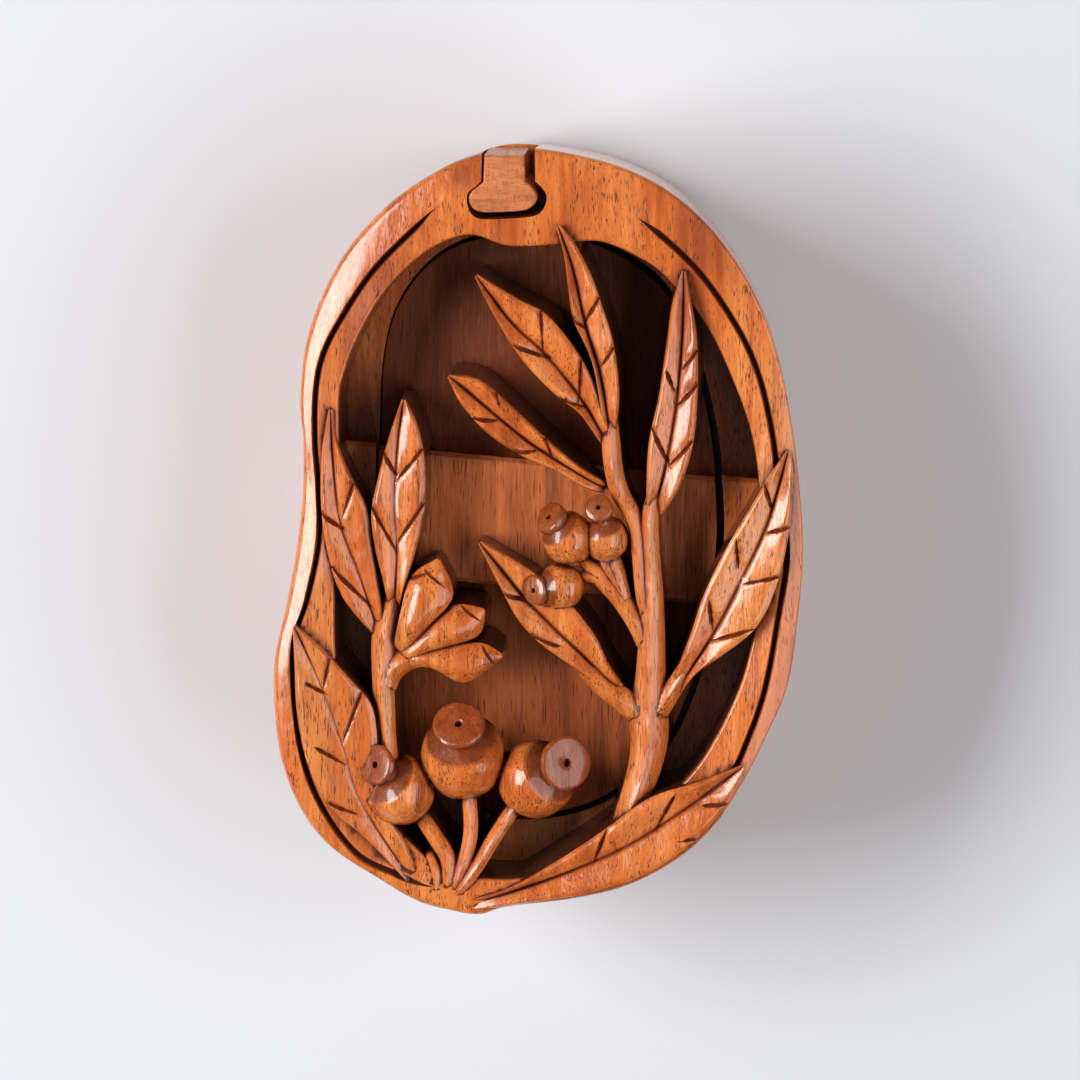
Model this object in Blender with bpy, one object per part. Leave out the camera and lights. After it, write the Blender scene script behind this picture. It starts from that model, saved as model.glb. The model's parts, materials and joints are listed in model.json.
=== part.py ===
"""Wooden puzzle box with a carved openwork lid.

Metres, +Z up. The box stands on z = 0 with its long side along Y and its key at +Y.
Tables of places are shares of the whole box: x as a share of BOX_WIDTH and y as a share of
BOX_LENGTH, both from the middle of the box.
"""

import math

import bmesh
import bpy
from mathutils import Matrix, Vector

# Whole box
BOX_LENGTH = 0.150
BOX_WIDTH = 0.103
FLOOR_THICKNESS = 0.006
BASE_HEIGHT = 0.036
LID_THICKNESS = 0.018
RIM_TOP = BASE_HEIGHT + LID_THICKNESS

# Outside of the body
SIDE_TAPER = 0.0032
FOOT_ROUND = 0.0030
RIM_ROUND = 0.0020

# Rim of the lid
GROOVE_DEPTH = 0.0017
GROOVE_WIDTH = 0.0021
BAND_DROP = 0.0008
WALL_DRAFT = 0.0006

# Clearances
JOINT_GAP = 0.0003
SLIDE_GAP = 0.0003
OVERRUN = 0.010

# Sliding tongue
TONGUE_WIDTH = 0.0262
TONGUE_HEIGHT = 0.0080
TONGUE_UNDERCUT = 0.0026
TONGUE_LIP = 0.0024
TONGUE_ROUND = 0.0008
TONGUE_OFFSET = 0.0007
TONGUE_TURN = math.radians(-5.0)

# Loose inner lid and the space under it
INNER_LID_THICKNESS = 0.0100
INNER_LID_DROP = 0.0005
INNER_LID_SHIFT = 0.0005
KERF_WIDTH = 0.0010
LEDGE_WIDTH = 0.0030

# Key
KEY_NECK_WIDTH = 0.0076
KEY_BULB_WIDTH = 0.0134
KEY_LENGTH = 0.0112
KEY_OFFSET = 0.0063
KEY_FACE_SHARE = 0.492
KEY_ROUND = 0.0006
KEY_DEPTH = 0.0015
KEY_PLAY_LEFT = 0.0004
KEY_PLAY_RIGHT = 0.0019
KEY_PLAY_BACK = 0.0014
KEY_LIFT_SHARE = 0.22

# Carving
LEAF_DRAFT = 0.0010
LEAF_EDGE_DROP = 0.0010
LEAF_RIB_DEPTH = 0.0011
LEAF_TIP_WIDTH = 0.0008
LEAF_BASE_WIDTH = 0.0024
STEM_WIDTH = 0.0040
STEM_RIDGE = 0.0011
NUT_RADIUS = 0.0070
NUT_CAP_THICKNESS = 0.0015
BERRY_RADIUS = 0.0046
BERRY_CAP_THICKNESS = 0.0011

# Forms of the body
TAPER_POWER = 1.5
SHELL_LEVEL_SHARES = (0.0, 0.2, 0.5, 0.78, 1.0)
FLOOR_LEVEL_SHARES = (0.0, 0.12, 0.3, 0.5, 1.0)

# Forms of the carving
ROUND_SHARE = 0.3
EDGE_DROP_SHARE = 0.3
CROWN_SHARE = 0.45
NECK_SHARE = 0.85
CAP_TOP_SHARE = 0.95
SHARP_ANGLE = math.radians(35.0)

# Colours and roughness of the wood
RED_WOOD = (0.48, 0.15, 0.05)
BROWN_WOOD = (0.26, 0.09, 0.04)
DARK_WOOD = (0.16, 0.06, 0.03)
END_WOOD = (0.52, 0.19, 0.08)
LACQUER_ROUGHNESS = 0.28
DRY_ROUGHNESS = 0.60

# Counts
RIM_STEPS = 96
CURVE_STEPS = 8
LEAF_STATIONS = 11
STEM_STATIONS = 8
NUT_SIDES = 20
BERRY_SIDES = 14

# Outline of the rim, clockwise from the key
OUTLINE_SHARES = [
    (-0.055, 0.501), (0.044, 0.496), (0.156, 0.477), (0.250, 0.444), (0.330, 0.394),
    (0.402, 0.321), (0.450, 0.236), (0.478, 0.142), (0.495, 0.043), (0.499, -0.029),
    (0.491, -0.101), (0.472, -0.193), (0.432, -0.261), (0.389, -0.321), (0.335, -0.379),
    (0.263, -0.425), (0.168, -0.460), (0.063, -0.478), (-0.057, -0.489), (-0.110, -0.500),
    (-0.166, -0.495), (-0.232, -0.482), (-0.312, -0.448), (-0.396, -0.410), (-0.451, -0.362),
    (-0.488, -0.294), (-0.500, -0.219), (-0.497, -0.161), (-0.474, -0.090), (-0.455, -0.020),
    (-0.442, 0.056), (-0.440, 0.122), (-0.446, 0.174), (-0.434, 0.249), (-0.400, 0.316),
    (-0.347, 0.377), (-0.269, 0.433), (-0.181, 0.473), (-0.118, 0.491),
]

# Inner edge of the rim, partly under the leaves
OPENING_SHARES = [
    (-0.053, 0.375), (0.040, 0.377), (0.120, 0.381), (0.210, 0.353), (0.265, 0.318),
    (0.320, 0.269), (0.362, 0.211), (0.400, 0.138), (0.418, 0.060), (0.425, -0.022),
    (0.408, -0.120), (0.381, -0.197), (0.322, -0.280), (0.265, -0.330), (0.196, -0.375),
    (0.120, -0.415), (0.025, -0.443), (-0.070, -0.453), (-0.175, -0.439), (-0.242, -0.405),
    (-0.309, -0.350), (-0.352, -0.271), (-0.379, -0.180), (-0.383, -0.094), (-0.373, 0.000),
    (-0.373, 0.080), (-0.372, 0.174), (-0.362, 0.210), (-0.335, 0.258), (-0.284, 0.316),
    (-0.208, 0.367), (-0.128, 0.389),
]

# Line of the groove cut into the rim, between its ends at the key and at the lowest leaf
GROOVE_SHARES = [
    (-0.032, 0.450), (0.086, 0.451), (0.156, 0.427), (0.240, 0.385), (0.310, 0.337),
    (0.375, 0.271), (0.413, 0.214), (0.438, 0.144), (0.456, 0.060), (0.468, -0.020),
    (0.457, -0.085), (0.434, -0.183), (0.404, -0.252), (0.350, -0.330), (0.240, -0.405),
    (0.100, -0.447), (-0.070, -0.471), (-0.200, -0.462), (-0.270, -0.445), (-0.343, -0.419),
    (-0.408, -0.358), (-0.446, -0.286), (-0.461, -0.193), (-0.457, -0.134), (-0.434, -0.085),
    (-0.411, -0.009), (-0.410, 0.058), (-0.417, 0.122), (-0.415, 0.187), (-0.400, 0.236),
    (-0.362, 0.286), (-0.307, 0.342), (-0.230, 0.396), (-0.154, 0.440),
]

# Directions, as shares of a full turn from +X, where the groove runs, and how fast it fades
GROOVE_RUN_SHARES = [(0.297, 0.705), (0.835, 1.202)]
GROOVE_FADE_SHARE = 0.012

# Saw cut round the inner lid
PLUG_SHARES = [
    (-0.004, 0.384), (0.128, 0.368), (0.236, 0.316), (0.293, 0.235), (0.328, 0.149),
    (0.345, 0.066), (0.349, -0.014), (0.331, -0.121), (0.299, -0.214), (0.240, -0.300),
    (0.149, -0.360), (0.050, -0.389), (-0.061, -0.394), (-0.175, -0.367), (-0.261, -0.307),
    (-0.303, -0.227), (-0.320, -0.134), (-0.320, -0.041), (-0.312, 0.052), (-0.309, 0.125),
    (-0.303, 0.211), (-0.278, 0.283), (-0.217, 0.343), (-0.131, 0.377),
]

# Half outlines of the key, from its outer face inwards, as shares of its widths and its length
KEY_NECK_END_SHARE = 0.43
KEY_BULB_SHARE = 0.73
KEY_RIGHT_SHARES = [
    (0.325, 0.465), (0.393, 0.540), (0.470, 0.670), (0.482, 0.730), (0.438, 0.835), (0.290, 0.947),
]
KEY_LEFT_SHARES = [
    (-0.290, 0.985), (-0.445, 0.925), (-0.505, 0.820), (-0.495, 0.640), (-0.342, 0.510),
]

# Leaves: tip, one side, the other side, midrib and base, then how far the tip, the middle and
# the base stand over the rim, as shares of the lid's thickness
LEAF_SHARES = {
    "upper_leaf": {
        "tip_share": (0.040, 0.402),
        "side_shares": [(0.051, 0.363), (0.059, 0.321), (0.069, 0.282), (0.105, 0.224)],
        "far_side_shares": [
            (0.067, 0.384), (0.097, 0.347), (0.120, 0.305), (0.143, 0.253), (0.154, 0.190),
        ],
        "rib_shares": [(0.067, 0.347), (0.091, 0.274), (0.118, 0.210)],
        "base_share": (0.137, 0.135), "rise_shares": (0.05, 0.12, 0.06),
    },
    "upper_side_leaf": {
        "tip_share": (-0.114, 0.337),
        "side_shares": [
            (-0.090, 0.298), (-0.051, 0.253), (-0.013, 0.219), (0.036, 0.185), (0.082, 0.159),
        ],
        "far_side_shares": [
            (-0.036, 0.308), (0.015, 0.290), (0.053, 0.262), (0.088, 0.227), (0.116, 0.187),
        ],
        "rib_shares": [(-0.051, 0.279), (0.015, 0.237), (0.082, 0.180)],
        "base_share": (0.131, 0.122), "rise_shares": (-0.05, 0.09, 0.03),
    },
    "middle_side_leaf": {
        "tip_share": (-0.166, 0.207),
        "side_shares": [
            (-0.143, 0.172), (-0.093, 0.135), (-0.029, 0.106), (0.040, 0.085), (0.082, 0.067),
        ],
        "far_side_shares": [(-0.107, 0.202), (-0.042, 0.166), (0.021, 0.126), (0.078, 0.093)],
        "rib_shares": [(-0.090, 0.164), (-0.013, 0.122), (0.053, 0.093)],
        "base_share": (0.128, 0.062), "rise_shares": (-0.05, 0.07, 0.02),
    },
    "tall_leaf": {
        "tip_share": (0.274, 0.345),
        "side_shares": [
            (0.253, 0.305), (0.244, 0.260), (0.229, 0.187), (0.211, 0.128), (0.206, 0.076),
        ],
        "far_side_shares": [
            (0.288, 0.305), (0.299, 0.260), (0.301, 0.194), (0.295, 0.135), (0.278, 0.085),
            (0.248, 0.043),
        ],
        "rib_shares": [(0.272, 0.266), (0.261, 0.174), (0.242, 0.096)],
        "base_share": (0.217, 0.028), "rise_shares": (0.06, 0.15, 0.08),
    },
    "right_leaf": {
        "tip_share": (0.470, 0.114),
        "side_shares": [
            (0.440, 0.087), (0.396, 0.037), (0.352, -0.016), (0.314, -0.072), (0.288, -0.127),
        ],
        "far_side_shares": [
            (0.480, 0.083), (0.474, 0.017), (0.453, -0.052), (0.415, -0.111), (0.349, -0.151),
            (0.299, -0.177),
        ],
        "rib_shares": [(0.434, 0.024), (0.385, -0.052), (0.333, -0.123)],
        "base_share": (0.257, -0.206), "rise_shares": (0.06, 0.16, 0.06),
    },
    "centre_leaf": {
        "tip_share": (-0.109, -0.010),
        "side_shares": [(-0.070, -0.068), (-0.036, -0.109), (0.006, -0.140), (0.072, -0.172)],
        "far_side_shares": [(-0.032, -0.037), (0.044, -0.075), (0.105, -0.125), (0.135, -0.166)],
        "rib_shares": [(-0.042, -0.068), (0.021, -0.114), (0.086, -0.156)],
        "base_share": (0.162, -0.208), "rise_shares": (-0.10, 0.00, 0.02),
    },
    "spray_leaf": {
        "tip_share": (-0.250, 0.177),
        "side_shares": [
            (-0.276, 0.132), (-0.299, 0.072), (-0.310, 0.030), (-0.303, -0.016), (-0.290, -0.055),
        ],
        "far_side_shares": [
            (-0.223, 0.142), (-0.210, 0.096), (-0.211, 0.037), (-0.227, -0.016), (-0.242, -0.051),
        ],
        "rib_shares": [(-0.261, 0.122), (-0.267, 0.043), (-0.263, -0.022)],
        "base_share": (-0.269, -0.094), "rise_shares": (0.02, 0.13, 0.06),
    },
    "rim_leaf": {
        "tip_share": (-0.387, 0.164),
        "side_shares": [
            (-0.404, 0.109), (-0.406, 0.043), (-0.394, -0.022), (-0.370, -0.075), (-0.330, -0.114),
        ],
        "far_side_shares": [
            (-0.375, 0.122), (-0.349, 0.076), (-0.320, 0.037), (-0.310, -0.009), (-0.299, -0.062),
        ],
        "rib_shares": [(-0.383, 0.096), (-0.370, 0.017), (-0.333, -0.055)],
        "base_share": (-0.297, -0.130), "rise_shares": (0.04, 0.07, 0.03),
    },
    "lower_left_leaf": {
        "tip_share": (-0.457, -0.119),
        "side_shares": [
            (-0.457, -0.173), (-0.453, -0.232), (-0.434, -0.298), (-0.394, -0.354), (-0.328, -0.396),
            (-0.270, -0.439),
        ],
        "far_side_shares": [
            (-0.404, -0.149), (-0.345, -0.193), (-0.310, -0.225), (-0.301, -0.278), (-0.303, -0.337),
            (-0.251, -0.402),
        ],
        "rib_shares": [(-0.410, -0.193), (-0.366, -0.278), (-0.333, -0.350)],
        "base_share": (-0.227, -0.467), "rise_shares": (0.08, 0.10, 0.00),
    },
    "lower_right_leaf": {
        "tip_share": (0.389, -0.298),
        "side_shares": [
            (0.310, -0.317), (0.215, -0.339), (0.130, -0.381), (0.034, -0.426), (-0.061, -0.464),
        ],
        "far_side_shares": [
            (0.362, -0.345), (0.299, -0.395), (0.206, -0.440), (0.091, -0.467), (-0.032, -0.482),
        ],
        "rib_shares": [(0.291, -0.350), (0.177, -0.402), (0.044, -0.444)],
        "base_share": (-0.143, -0.488), "rise_shares": (0.05, 0.12, 0.03),
    },
}

# Flower buds, written like the leaves
BUD_SHARES = {
    "upper_bud": {
        "tip_share": (-0.185, -0.030),
        "side_shares": [(-0.236, -0.052), (-0.257, -0.101)],
        "far_side_shares": [(-0.158, -0.077), (-0.204, -0.117)],
        "rib_shares": [(-0.204, -0.068), (-0.232, -0.114)],
        "base_share": (-0.261, -0.153), "rise_shares": (0.04, 0.20, 0.06),
    },
    "middle_bud": {
        "tip_share": (-0.099, -0.096),
        "side_shares": [(-0.156, -0.090), (-0.204, -0.117)],
        "far_side_shares": [(-0.112, -0.130), (-0.185, -0.147)],
        "rib_shares": [(-0.147, -0.114), (-0.204, -0.138)],
        "base_share": (-0.257, -0.160), "rise_shares": (0.02, 0.14, 0.06),
    },
    "lower_bud": {
        "tip_share": (-0.065, -0.156),
        "side_shares": [(-0.105, -0.140), (-0.175, -0.143)],
        "far_side_shares": [(-0.135, -0.191), (-0.200, -0.172)],
        "rib_shares": [(-0.137, -0.166), (-0.204, -0.160)],
        "base_share": (-0.253, -0.164), "rise_shares": (0.00, 0.12, 0.05),
    },
}

# Stems: x, y, width as a share of STEM_WIDTH and rise as a share of the lid's thickness
STEM_SHARES = {
    "trunk": [
        (0.181, -0.350, 1.3, 0.02), (0.202, -0.305, 1.5, 0.06), (0.211, -0.269, 1.8, 0.08),
        (0.211, -0.235, 2.0, 0.08), (0.213, -0.190, 1.5, 0.07),
    ],
    "upper_stem": [
        (0.213, -0.219, 1.6, 0.09), (0.215, -0.166, 1.4, 0.10), (0.217, -0.114, 1.2, 0.10),
        (0.217, -0.062, 1.0, 0.10), (0.213, -0.016, 0.9, 0.09), (0.213, 0.030, 0.8, 0.09),
        (0.221, 0.063, 0.8, 0.08),
    ],
    "centre_leaf_stem": [
        (0.206, -0.235, 1.3, 0.07), (0.162, -0.214, 1.15, 0.05), (0.120, -0.193, 1.0, 0.03),
        (0.082, -0.169, 0.8, 0.01),
    ],
    "right_leaf_stem": [
        (0.215, -0.239, 1.2, 0.07), (0.242, -0.212, 1.0, 0.07), (0.265, -0.187, 0.8, 0.07),
        (0.288, -0.156, 0.6, 0.06),
    ],
    "fork_stem": [
        (0.137, 0.160, 0.9, 0.05), (0.141, 0.102, 0.9, 0.05), (0.154, 0.060, 0.9, 0.05),
        (0.181, 0.026, 0.8, 0.06), (0.192, -0.016, 0.75, 0.07), (0.198, -0.068, 0.7, 0.07),
        (0.210, -0.121, 0.7, 0.06),
    ],
    "berry_stem": [
        (0.215, -0.160, 0.8, 0.06), (0.190, -0.117, 0.9, 0.05), (0.158, -0.081, 0.9, 0.03),
        (0.120, -0.051, 0.8, 0.00), (0.092, -0.034, 0.7, -0.03), (0.066, -0.014, 0.6, -0.05),
    ],
    "right_berry_stalk": [
        (0.155, -0.078, 0.6, 0.02), (0.153, -0.056, 0.55, 0.00), (0.148, -0.036, 0.5, -0.02),
        (0.140, -0.016, 0.5, -0.04),
    ],
    "lower_berry_stalk": [
        (0.128, -0.057, 0.6, 0.00), (0.106, -0.052, 0.55, -0.02), (0.082, -0.055, 0.5, -0.05),
        (0.062, -0.057, 0.5, -0.10),
    ],
    "spray_stem": [
        (-0.284, -0.282, 0.9, 0.04), (-0.288, -0.235, 1.0, 0.05), (-0.291, -0.180, 1.1, 0.06),
        (-0.286, -0.127, 1.3, 0.06), (-0.270, -0.075, 0.9, 0.05),
    ],
    "bud_stem": [
        (-0.288, -0.177, 0.8, 0.05), (-0.257, -0.160, 0.8, 0.05), (-0.204, -0.156, 0.7, 0.04),
    ],
    "left_stalk": [
        (-0.248, -0.346, 0.7, -0.10), (-0.190, -0.402, 0.8, 0.00), (-0.168, -0.431, 0.8, 0.03),
        (-0.171, -0.468, 0.8, 0.02),
    ],
    "middle_stalk": [
        (-0.135, -0.312, 0.7, -0.10), (-0.126, -0.383, 0.7, 0.01), (-0.137, -0.426, 0.7, 0.04),
        (-0.162, -0.471, 0.7, 0.02),
    ],
    "right_stalk": [
        (-0.020, -0.334, 0.7, -0.10), (-0.080, -0.396, 0.7, 0.00), (-0.114, -0.435, 0.65, 0.04),
        (-0.162, -0.481, 0.65, 0.02),
    ],
    "short_stalk": [
        (-0.208, -0.418, 0.5, -0.04), (-0.192, -0.444, 0.5, 0.01), (-0.192, -0.471, 0.5, 0.00),
    ],
}

# Gumnuts: place of the belly, then the way to the cap (x, y and up) and the belly's and the cap's
# radius as shares of NUT_RADIUS, then the belly's rise as a share of the lid's thickness
NUT_SHARES = {
    "left_nut": {
        "place_share": (-0.265, -0.337), "cap_shares": (-0.59, 0.84, 0.90),
        "size_shares": (1.00, 0.54, -0.20),
    },
    "middle_nut": {
        "place_share": (-0.141, -0.294), "cap_shares": (-0.12, 0.99, 1.07),
        "size_shares": (1.12, 0.66, -0.17),
    },
    "right_nut": {
        "place_share": (0.000, -0.321), "cap_shares": (0.78, 0.49, 1.00),
        "size_shares": (1.02, 0.70, -0.20),
    },
}
FRUIT_PROFILE_SHARES = [
    (-0.92, 0.38), (-0.70, 0.71), (-0.36, 0.93), (0.00, 1.00), (0.35, 0.94), (0.68, 0.76),
]

# Berries, written like the gumnuts
BERRY_SHARES = {
    "left_berry": {
        "place_share": (0.057, -0.002), "cap_shares": (-0.83, 0.91, 0.41),
        "size_shares": (1.12, 0.52, -0.06),
    },
    "right_berry": {
        "place_share": (0.135, -0.004), "cap_shares": (-0.47, 1.47, 0.83),
        "size_shares": (0.94, 0.56, -0.06),
    },
    "lower_berry": {
        "place_share": (0.049, -0.066), "cap_shares": (-1.05, 0.13, 0.52),
        "size_shares": (0.94, 0.44, -0.10),
    },
}


def place(share, z=0.0):
    """Returns the point at a pair of shares of the box's width and length."""
    return Vector((share[0] * BOX_WIDTH, share[1] * BOX_LENGTH, z))


def smooth(points, count, closed=False):
    """Returns count points along a Catmull-Rom curve through the given vectors."""
    total = len(points)
    spans = total if closed else total - 1
    result = []
    for index in range(count):
        position = spans * index / (count if closed else count - 1)
        start = min(int(position), spans - 1)
        blend = position - start

        def corner(offset):
            if closed:
                return points[(start + offset) % total]
            return points[max(0, min(total - 1, start + offset))]

        before, first, second, after = (corner(offset) for offset in (-1, 0, 1, 2))
        result.append(
            0.5 * (
                2 * first
                + (second - before) * blend
                + (2 * before - 5 * first + 4 * second - after) * blend ** 2
                + (3 * first - before - 3 * second + after) * blend ** 3
            )
        )
    return result


def even(points, count):
    """Returns count points spaced evenly along an open curve through the given vectors."""
    fine = smooth(points, count * CURVE_STEPS)
    lengths = [0.0]
    for first, second in zip(fine, fine[1:]):
        lengths.append(lengths[-1] + (second - first).length)
    result = []
    index = 0
    for step in range(count):
        wanted = lengths[-1] * step / (count - 1)
        while index < len(fine) - 2 and lengths[index + 1] < wanted:
            index += 1
        span = lengths[index + 1] - lengths[index]
        result.append(fine[index].lerp(fine[index + 1], (wanted - lengths[index]) / span))
    return result


def direction(step):
    """Returns the direction, in radians from +X, of a step round the box."""
    return math.tau * step / RIM_STEPS


def reaches(shares):
    """Returns how far a closed outline lies from the middle of the box in each direction."""
    fine = smooth([place(share) for share in shares], len(shares) * CURVE_STEPS, closed=True)
    polar = sorted((math.atan2(point.y, point.x) % math.tau, point.length) for point in fine)
    first, last = polar[0], polar[-1]
    polar = [(last[0] - math.tau, last[1]), *polar, (first[0] + math.tau, first[1])]
    result = []
    index = 0
    for step in range(RIM_STEPS):
        angle = direction(step)
        while polar[index + 1][0] < angle:
            index += 1
        (low, near), (high, far) = polar[index], polar[index + 1]
        result.append(near + (far - near) * (angle - low) / (high - low))
    return result


def ring(radii, z):
    """Returns the points at the given reaches from the middle of the box, at one height."""
    return [
        Vector((radius * math.cos(direction(step)), radius * math.sin(direction(step)), z))
        for step, radius in enumerate(radii)
    ]


def inset(radii, distance):
    """Returns reaches drawn in by a distance."""
    return [radius - distance for radius in radii]


def side_inset(z):
    """Returns how far the outside is drawn in at a height, with its rounded foot."""
    height_share = min(1.0, z / RIM_TOP)
    taper = SIDE_TAPER * (1.0 - height_share) ** TAPER_POWER
    below = max(0.0, FOOT_ROUND - z)
    return taper + FOOT_ROUND - math.sqrt(FOOT_ROUND ** 2 - below ** 2)


def new_object(name, mesh):
    """Adds an object with the given mesh to the scene."""
    result = bpy.data.objects.new(name, mesh)
    bpy.context.scene.collection.objects.link(result)
    return result


def solid(name, rings, wrap=False):
    """Makes a closed body from rings of points, capped at both ends unless it wraps round."""
    mesh = bpy.data.meshes.new(name)
    shape = bmesh.new()
    loops = [[shape.verts.new(point) for point in points] for points in rings]
    pairs = list(zip(loops, loops[1:] + ([loops[0]] if wrap else [])))
    for low, high in pairs:
        for index in range(len(low)):
            after = (index + 1) % len(low)
            shape.faces.new((low[index], low[after], high[after], high[index]))
    if not wrap:
        shape.faces.new(list(reversed(loops[0])))
        shape.faces.new(loops[-1])
    bmesh.ops.recalc_face_normals(shape, faces=shape.faces)
    shape.to_mesh(mesh)
    shape.free()
    return new_object(name, mesh)


def prism(name, outline, low, high):
    """Makes an upright prism on a plan outline."""
    return solid(name, [[Vector((point.x, point.y, z)) for point in outline] for z in (low, high)])


def turned(name, profile, centre, axis, sides):
    """Makes a turned body from (along, radius) pairs about an axis through a centre."""
    turn = axis.to_track_quat("Z", "Y").to_matrix().to_4x4()
    frame = Matrix.Translation(centre) @ turn
    rings = []
    for along, radius in profile:
        circle = []
        for side in range(sides):
            angle = math.tau * side / sides
            circle.append(frame @ Vector((radius * math.cos(angle), radius * math.sin(angle), along)))
        rings.append(circle)
    return solid(name, rings)


def make_cutter(target):
    """Marks an object as a construction body that isn't part of the box."""
    target.hide_render = True
    target.display_type = "WIRE"


def bake(target):
    """Replaces an object's mesh by what its modifiers make of it."""
    bpy.context.view_layer.update()
    graph = bpy.context.evaluated_depsgraph_get()
    baked = bpy.data.meshes.new_from_object(target.evaluated_get(graph))
    target.modifiers.clear()
    target.data = baked


def combine(target, others, operation):
    """Joins, cuts or crosses a body with others and removes those others."""
    group = bpy.data.collections.new(target.name + "_" + operation.lower())
    for other in others:
        group.objects.link(other)
        make_cutter(other)
    modifier = target.modifiers.new(operation.title(), "BOOLEAN")
    modifier.operation = operation
    modifier.solver = "EXACT"
    modifier.operand_type = "COLLECTION"
    modifier.collection = group
    bake(target)
    for other in others:
        bpy.data.objects.remove(other)
    bpy.data.collections.remove(group)


def tongue_section(grow):
    """Returns the right half of the tongue's section as (across, up) pairs, bottom to top."""
    half = TONGUE_WIDTH / 2 + grow
    return [
        (half - TONGUE_UNDERCUT, grow),
        (half, TONGUE_HEIGHT - TONGUE_LIP),
        (half, TONGUE_HEIGHT - TONGUE_ROUND + grow),
        (half - TONGUE_ROUND, TONGUE_HEIGHT + grow),
    ]


def along_tongue(name, section):
    """Makes a bar with an (across, up) section that runs the tongue's way past the box."""
    frame = (
        Matrix.Translation((0.0, TONGUE_OFFSET, BASE_HEIGHT))
        @ Matrix.Rotation(TONGUE_TURN, 4, "Z")
    )
    reach = BOX_LENGTH
    return solid(
        name,
        [[frame @ Vector((x, across, up)) for across, up in section] for x in (-reach, reach)],
    )


def body_block(name, low, high, outline, level_shares):
    """Makes the box's outside between two heights, narrowing towards the floor."""
    heights = [low + (high - low) * share for share in level_shares]
    return solid(name, [ring(inset(outline, side_inset(z)), z) for z in heights])


def shoulders(grow):
    """Makes the two bodies that leave the tongue standing when they are cut away."""
    section = tongue_section(grow)
    far = BOX_LENGTH
    top = TONGUE_HEIGHT + OVERRUN
    right = [(far, grow), *section, (section[-1][0], top), (far, top)]
    left = [(-across, up) for across, up in right]
    return [along_tongue("right_shoulder", right), along_tongue("left_shoulder", left)]


def make_base(outline, plug):
    """Makes the wall of the box with the ends of the tongue, the ledge and the key's socket."""
    shell = body_block(
        "base_shell", FLOOR_THICKNESS + JOINT_GAP, BASE_HEIGHT + TONGUE_HEIGHT, outline,
        SHELL_LEVEL_SHARES,
    )
    ledge_top = BASE_HEIGHT - INNER_LID_THICKNESS
    room = prism("room", ring(inset(plug, LEDGE_WIDTH), 0.0), 0.0, BASE_HEIGHT + OVERRUN)
    recess = prism("recess", ring(plug, 0.0), ledge_top, BASE_HEIGHT + OVERRUN)
    socket = key_cutter("socket", BASE_HEIGHT - KEY_DEPTH - JOINT_GAP)
    combine(shell, [*shoulders(0.0), room, recess, socket], "DIFFERENCE")
    return shell


def make_floor(outline):
    """Makes the bottom slice of the box."""
    return body_block("base_floor", 0.0, FLOOR_THICKNESS, outline, FLOOR_LEVEL_SHARES)


def make_inner_lid(plug):
    """Makes the loose plug with the middle of the tongue on it."""
    low = BASE_HEIGHT - INNER_LID_THICKNESS + JOINT_GAP
    high = BASE_HEIGHT + TONGUE_HEIGHT - INNER_LID_DROP
    plug_outline = [
        point - Vector((INNER_LID_SHIFT, 0.0, 0.0)) for point in ring(inset(plug, KERF_WIDTH), 0.0)
    ]
    lid = prism("inner_lid", plug_outline, low, high)
    combine(lid, shoulders(-INNER_LID_DROP), "DIFFERENCE")
    return lid


def key_outline(left, right, back, outward):
    """Returns the key's plan outline, grown by the given plays and past its outer face."""
    face = KEY_FACE_SHARE * BOX_LENGTH
    neck_end = KEY_NECK_END_SHARE * KEY_LENGTH
    neck = KEY_NECK_WIDTH / 2
    points = [(neck + right, -outward), (neck + right, neck_end)]
    for across, inward in KEY_RIGHT_SHARES:
        points.append((across * KEY_BULB_WIDTH + right, inward * KEY_LENGTH))
    for across, inward in KEY_LEFT_SHARES:
        points.append((across * KEY_BULB_WIDTH - left, inward * KEY_LENGTH))
    points += [(-neck - left, neck_end), (-neck - left, -outward)]
    result = []
    for across, inward in points:
        past_bulb = max(0.0, inward / KEY_LENGTH - KEY_BULB_SHARE)
        play = back * past_bulb / (1.0 - KEY_BULB_SHARE)
        result.append(Vector((across - KEY_OFFSET, face - inward - play, 0.0)))
    return result


def key_cutter(name, low):
    """Makes the body that cuts the key's slot upwards from a height."""
    outline = key_outline(KEY_PLAY_LEFT, KEY_PLAY_RIGHT, KEY_PLAY_BACK, OVERRUN)
    return prism(name, outline, low, RIM_TOP + OVERRUN)


def make_key():
    """Makes the T-shaped key, whose foot slopes up to the right so that it rides out."""
    outline = key_outline(0.0, 0.0, 0.0, 0.0)
    low = BASE_HEIGHT - KEY_DEPTH
    middle = sum(outline, Vector()) / len(outline)
    shrink = 1.0 - 2 * KEY_ROUND / KEY_BULB_WIDTH
    rounded = [middle + (point - middle) * shrink for point in outline]
    key = solid(
        "key",
        [
            [Vector((point.x, point.y, z)) for point in points]
            for points, z in ((outline, low), (outline, RIM_TOP - KEY_ROUND), (rounded, RIM_TOP))
        ],
    )
    slope_length = KEY_DEPTH / KEY_LIFT_SHARE - KEY_PLAY_RIGHT + SLIDE_GAP
    start = KEY_NECK_WIDTH / 2 - KEY_OFFSET - slope_length
    corners = [
        (start - OVERRUN, low - OVERRUN * KEY_LIFT_SHARE),
        (start + OVERRUN, low + OVERRUN * KEY_LIFT_SHARE),
        (start + OVERRUN, low - OVERRUN),
        (start - OVERRUN, low - OVERRUN),
    ]
    face = KEY_FACE_SHARE * BOX_LENGTH
    wedge = solid(
        "wedge",
        [
            [Vector((x, y, z)) for x, z in corners]
            for y in (face + OVERRUN, face - KEY_LENGTH - OVERRUN)
        ],
    )
    combine(key, [wedge], "DIFFERENCE")
    return key


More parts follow.
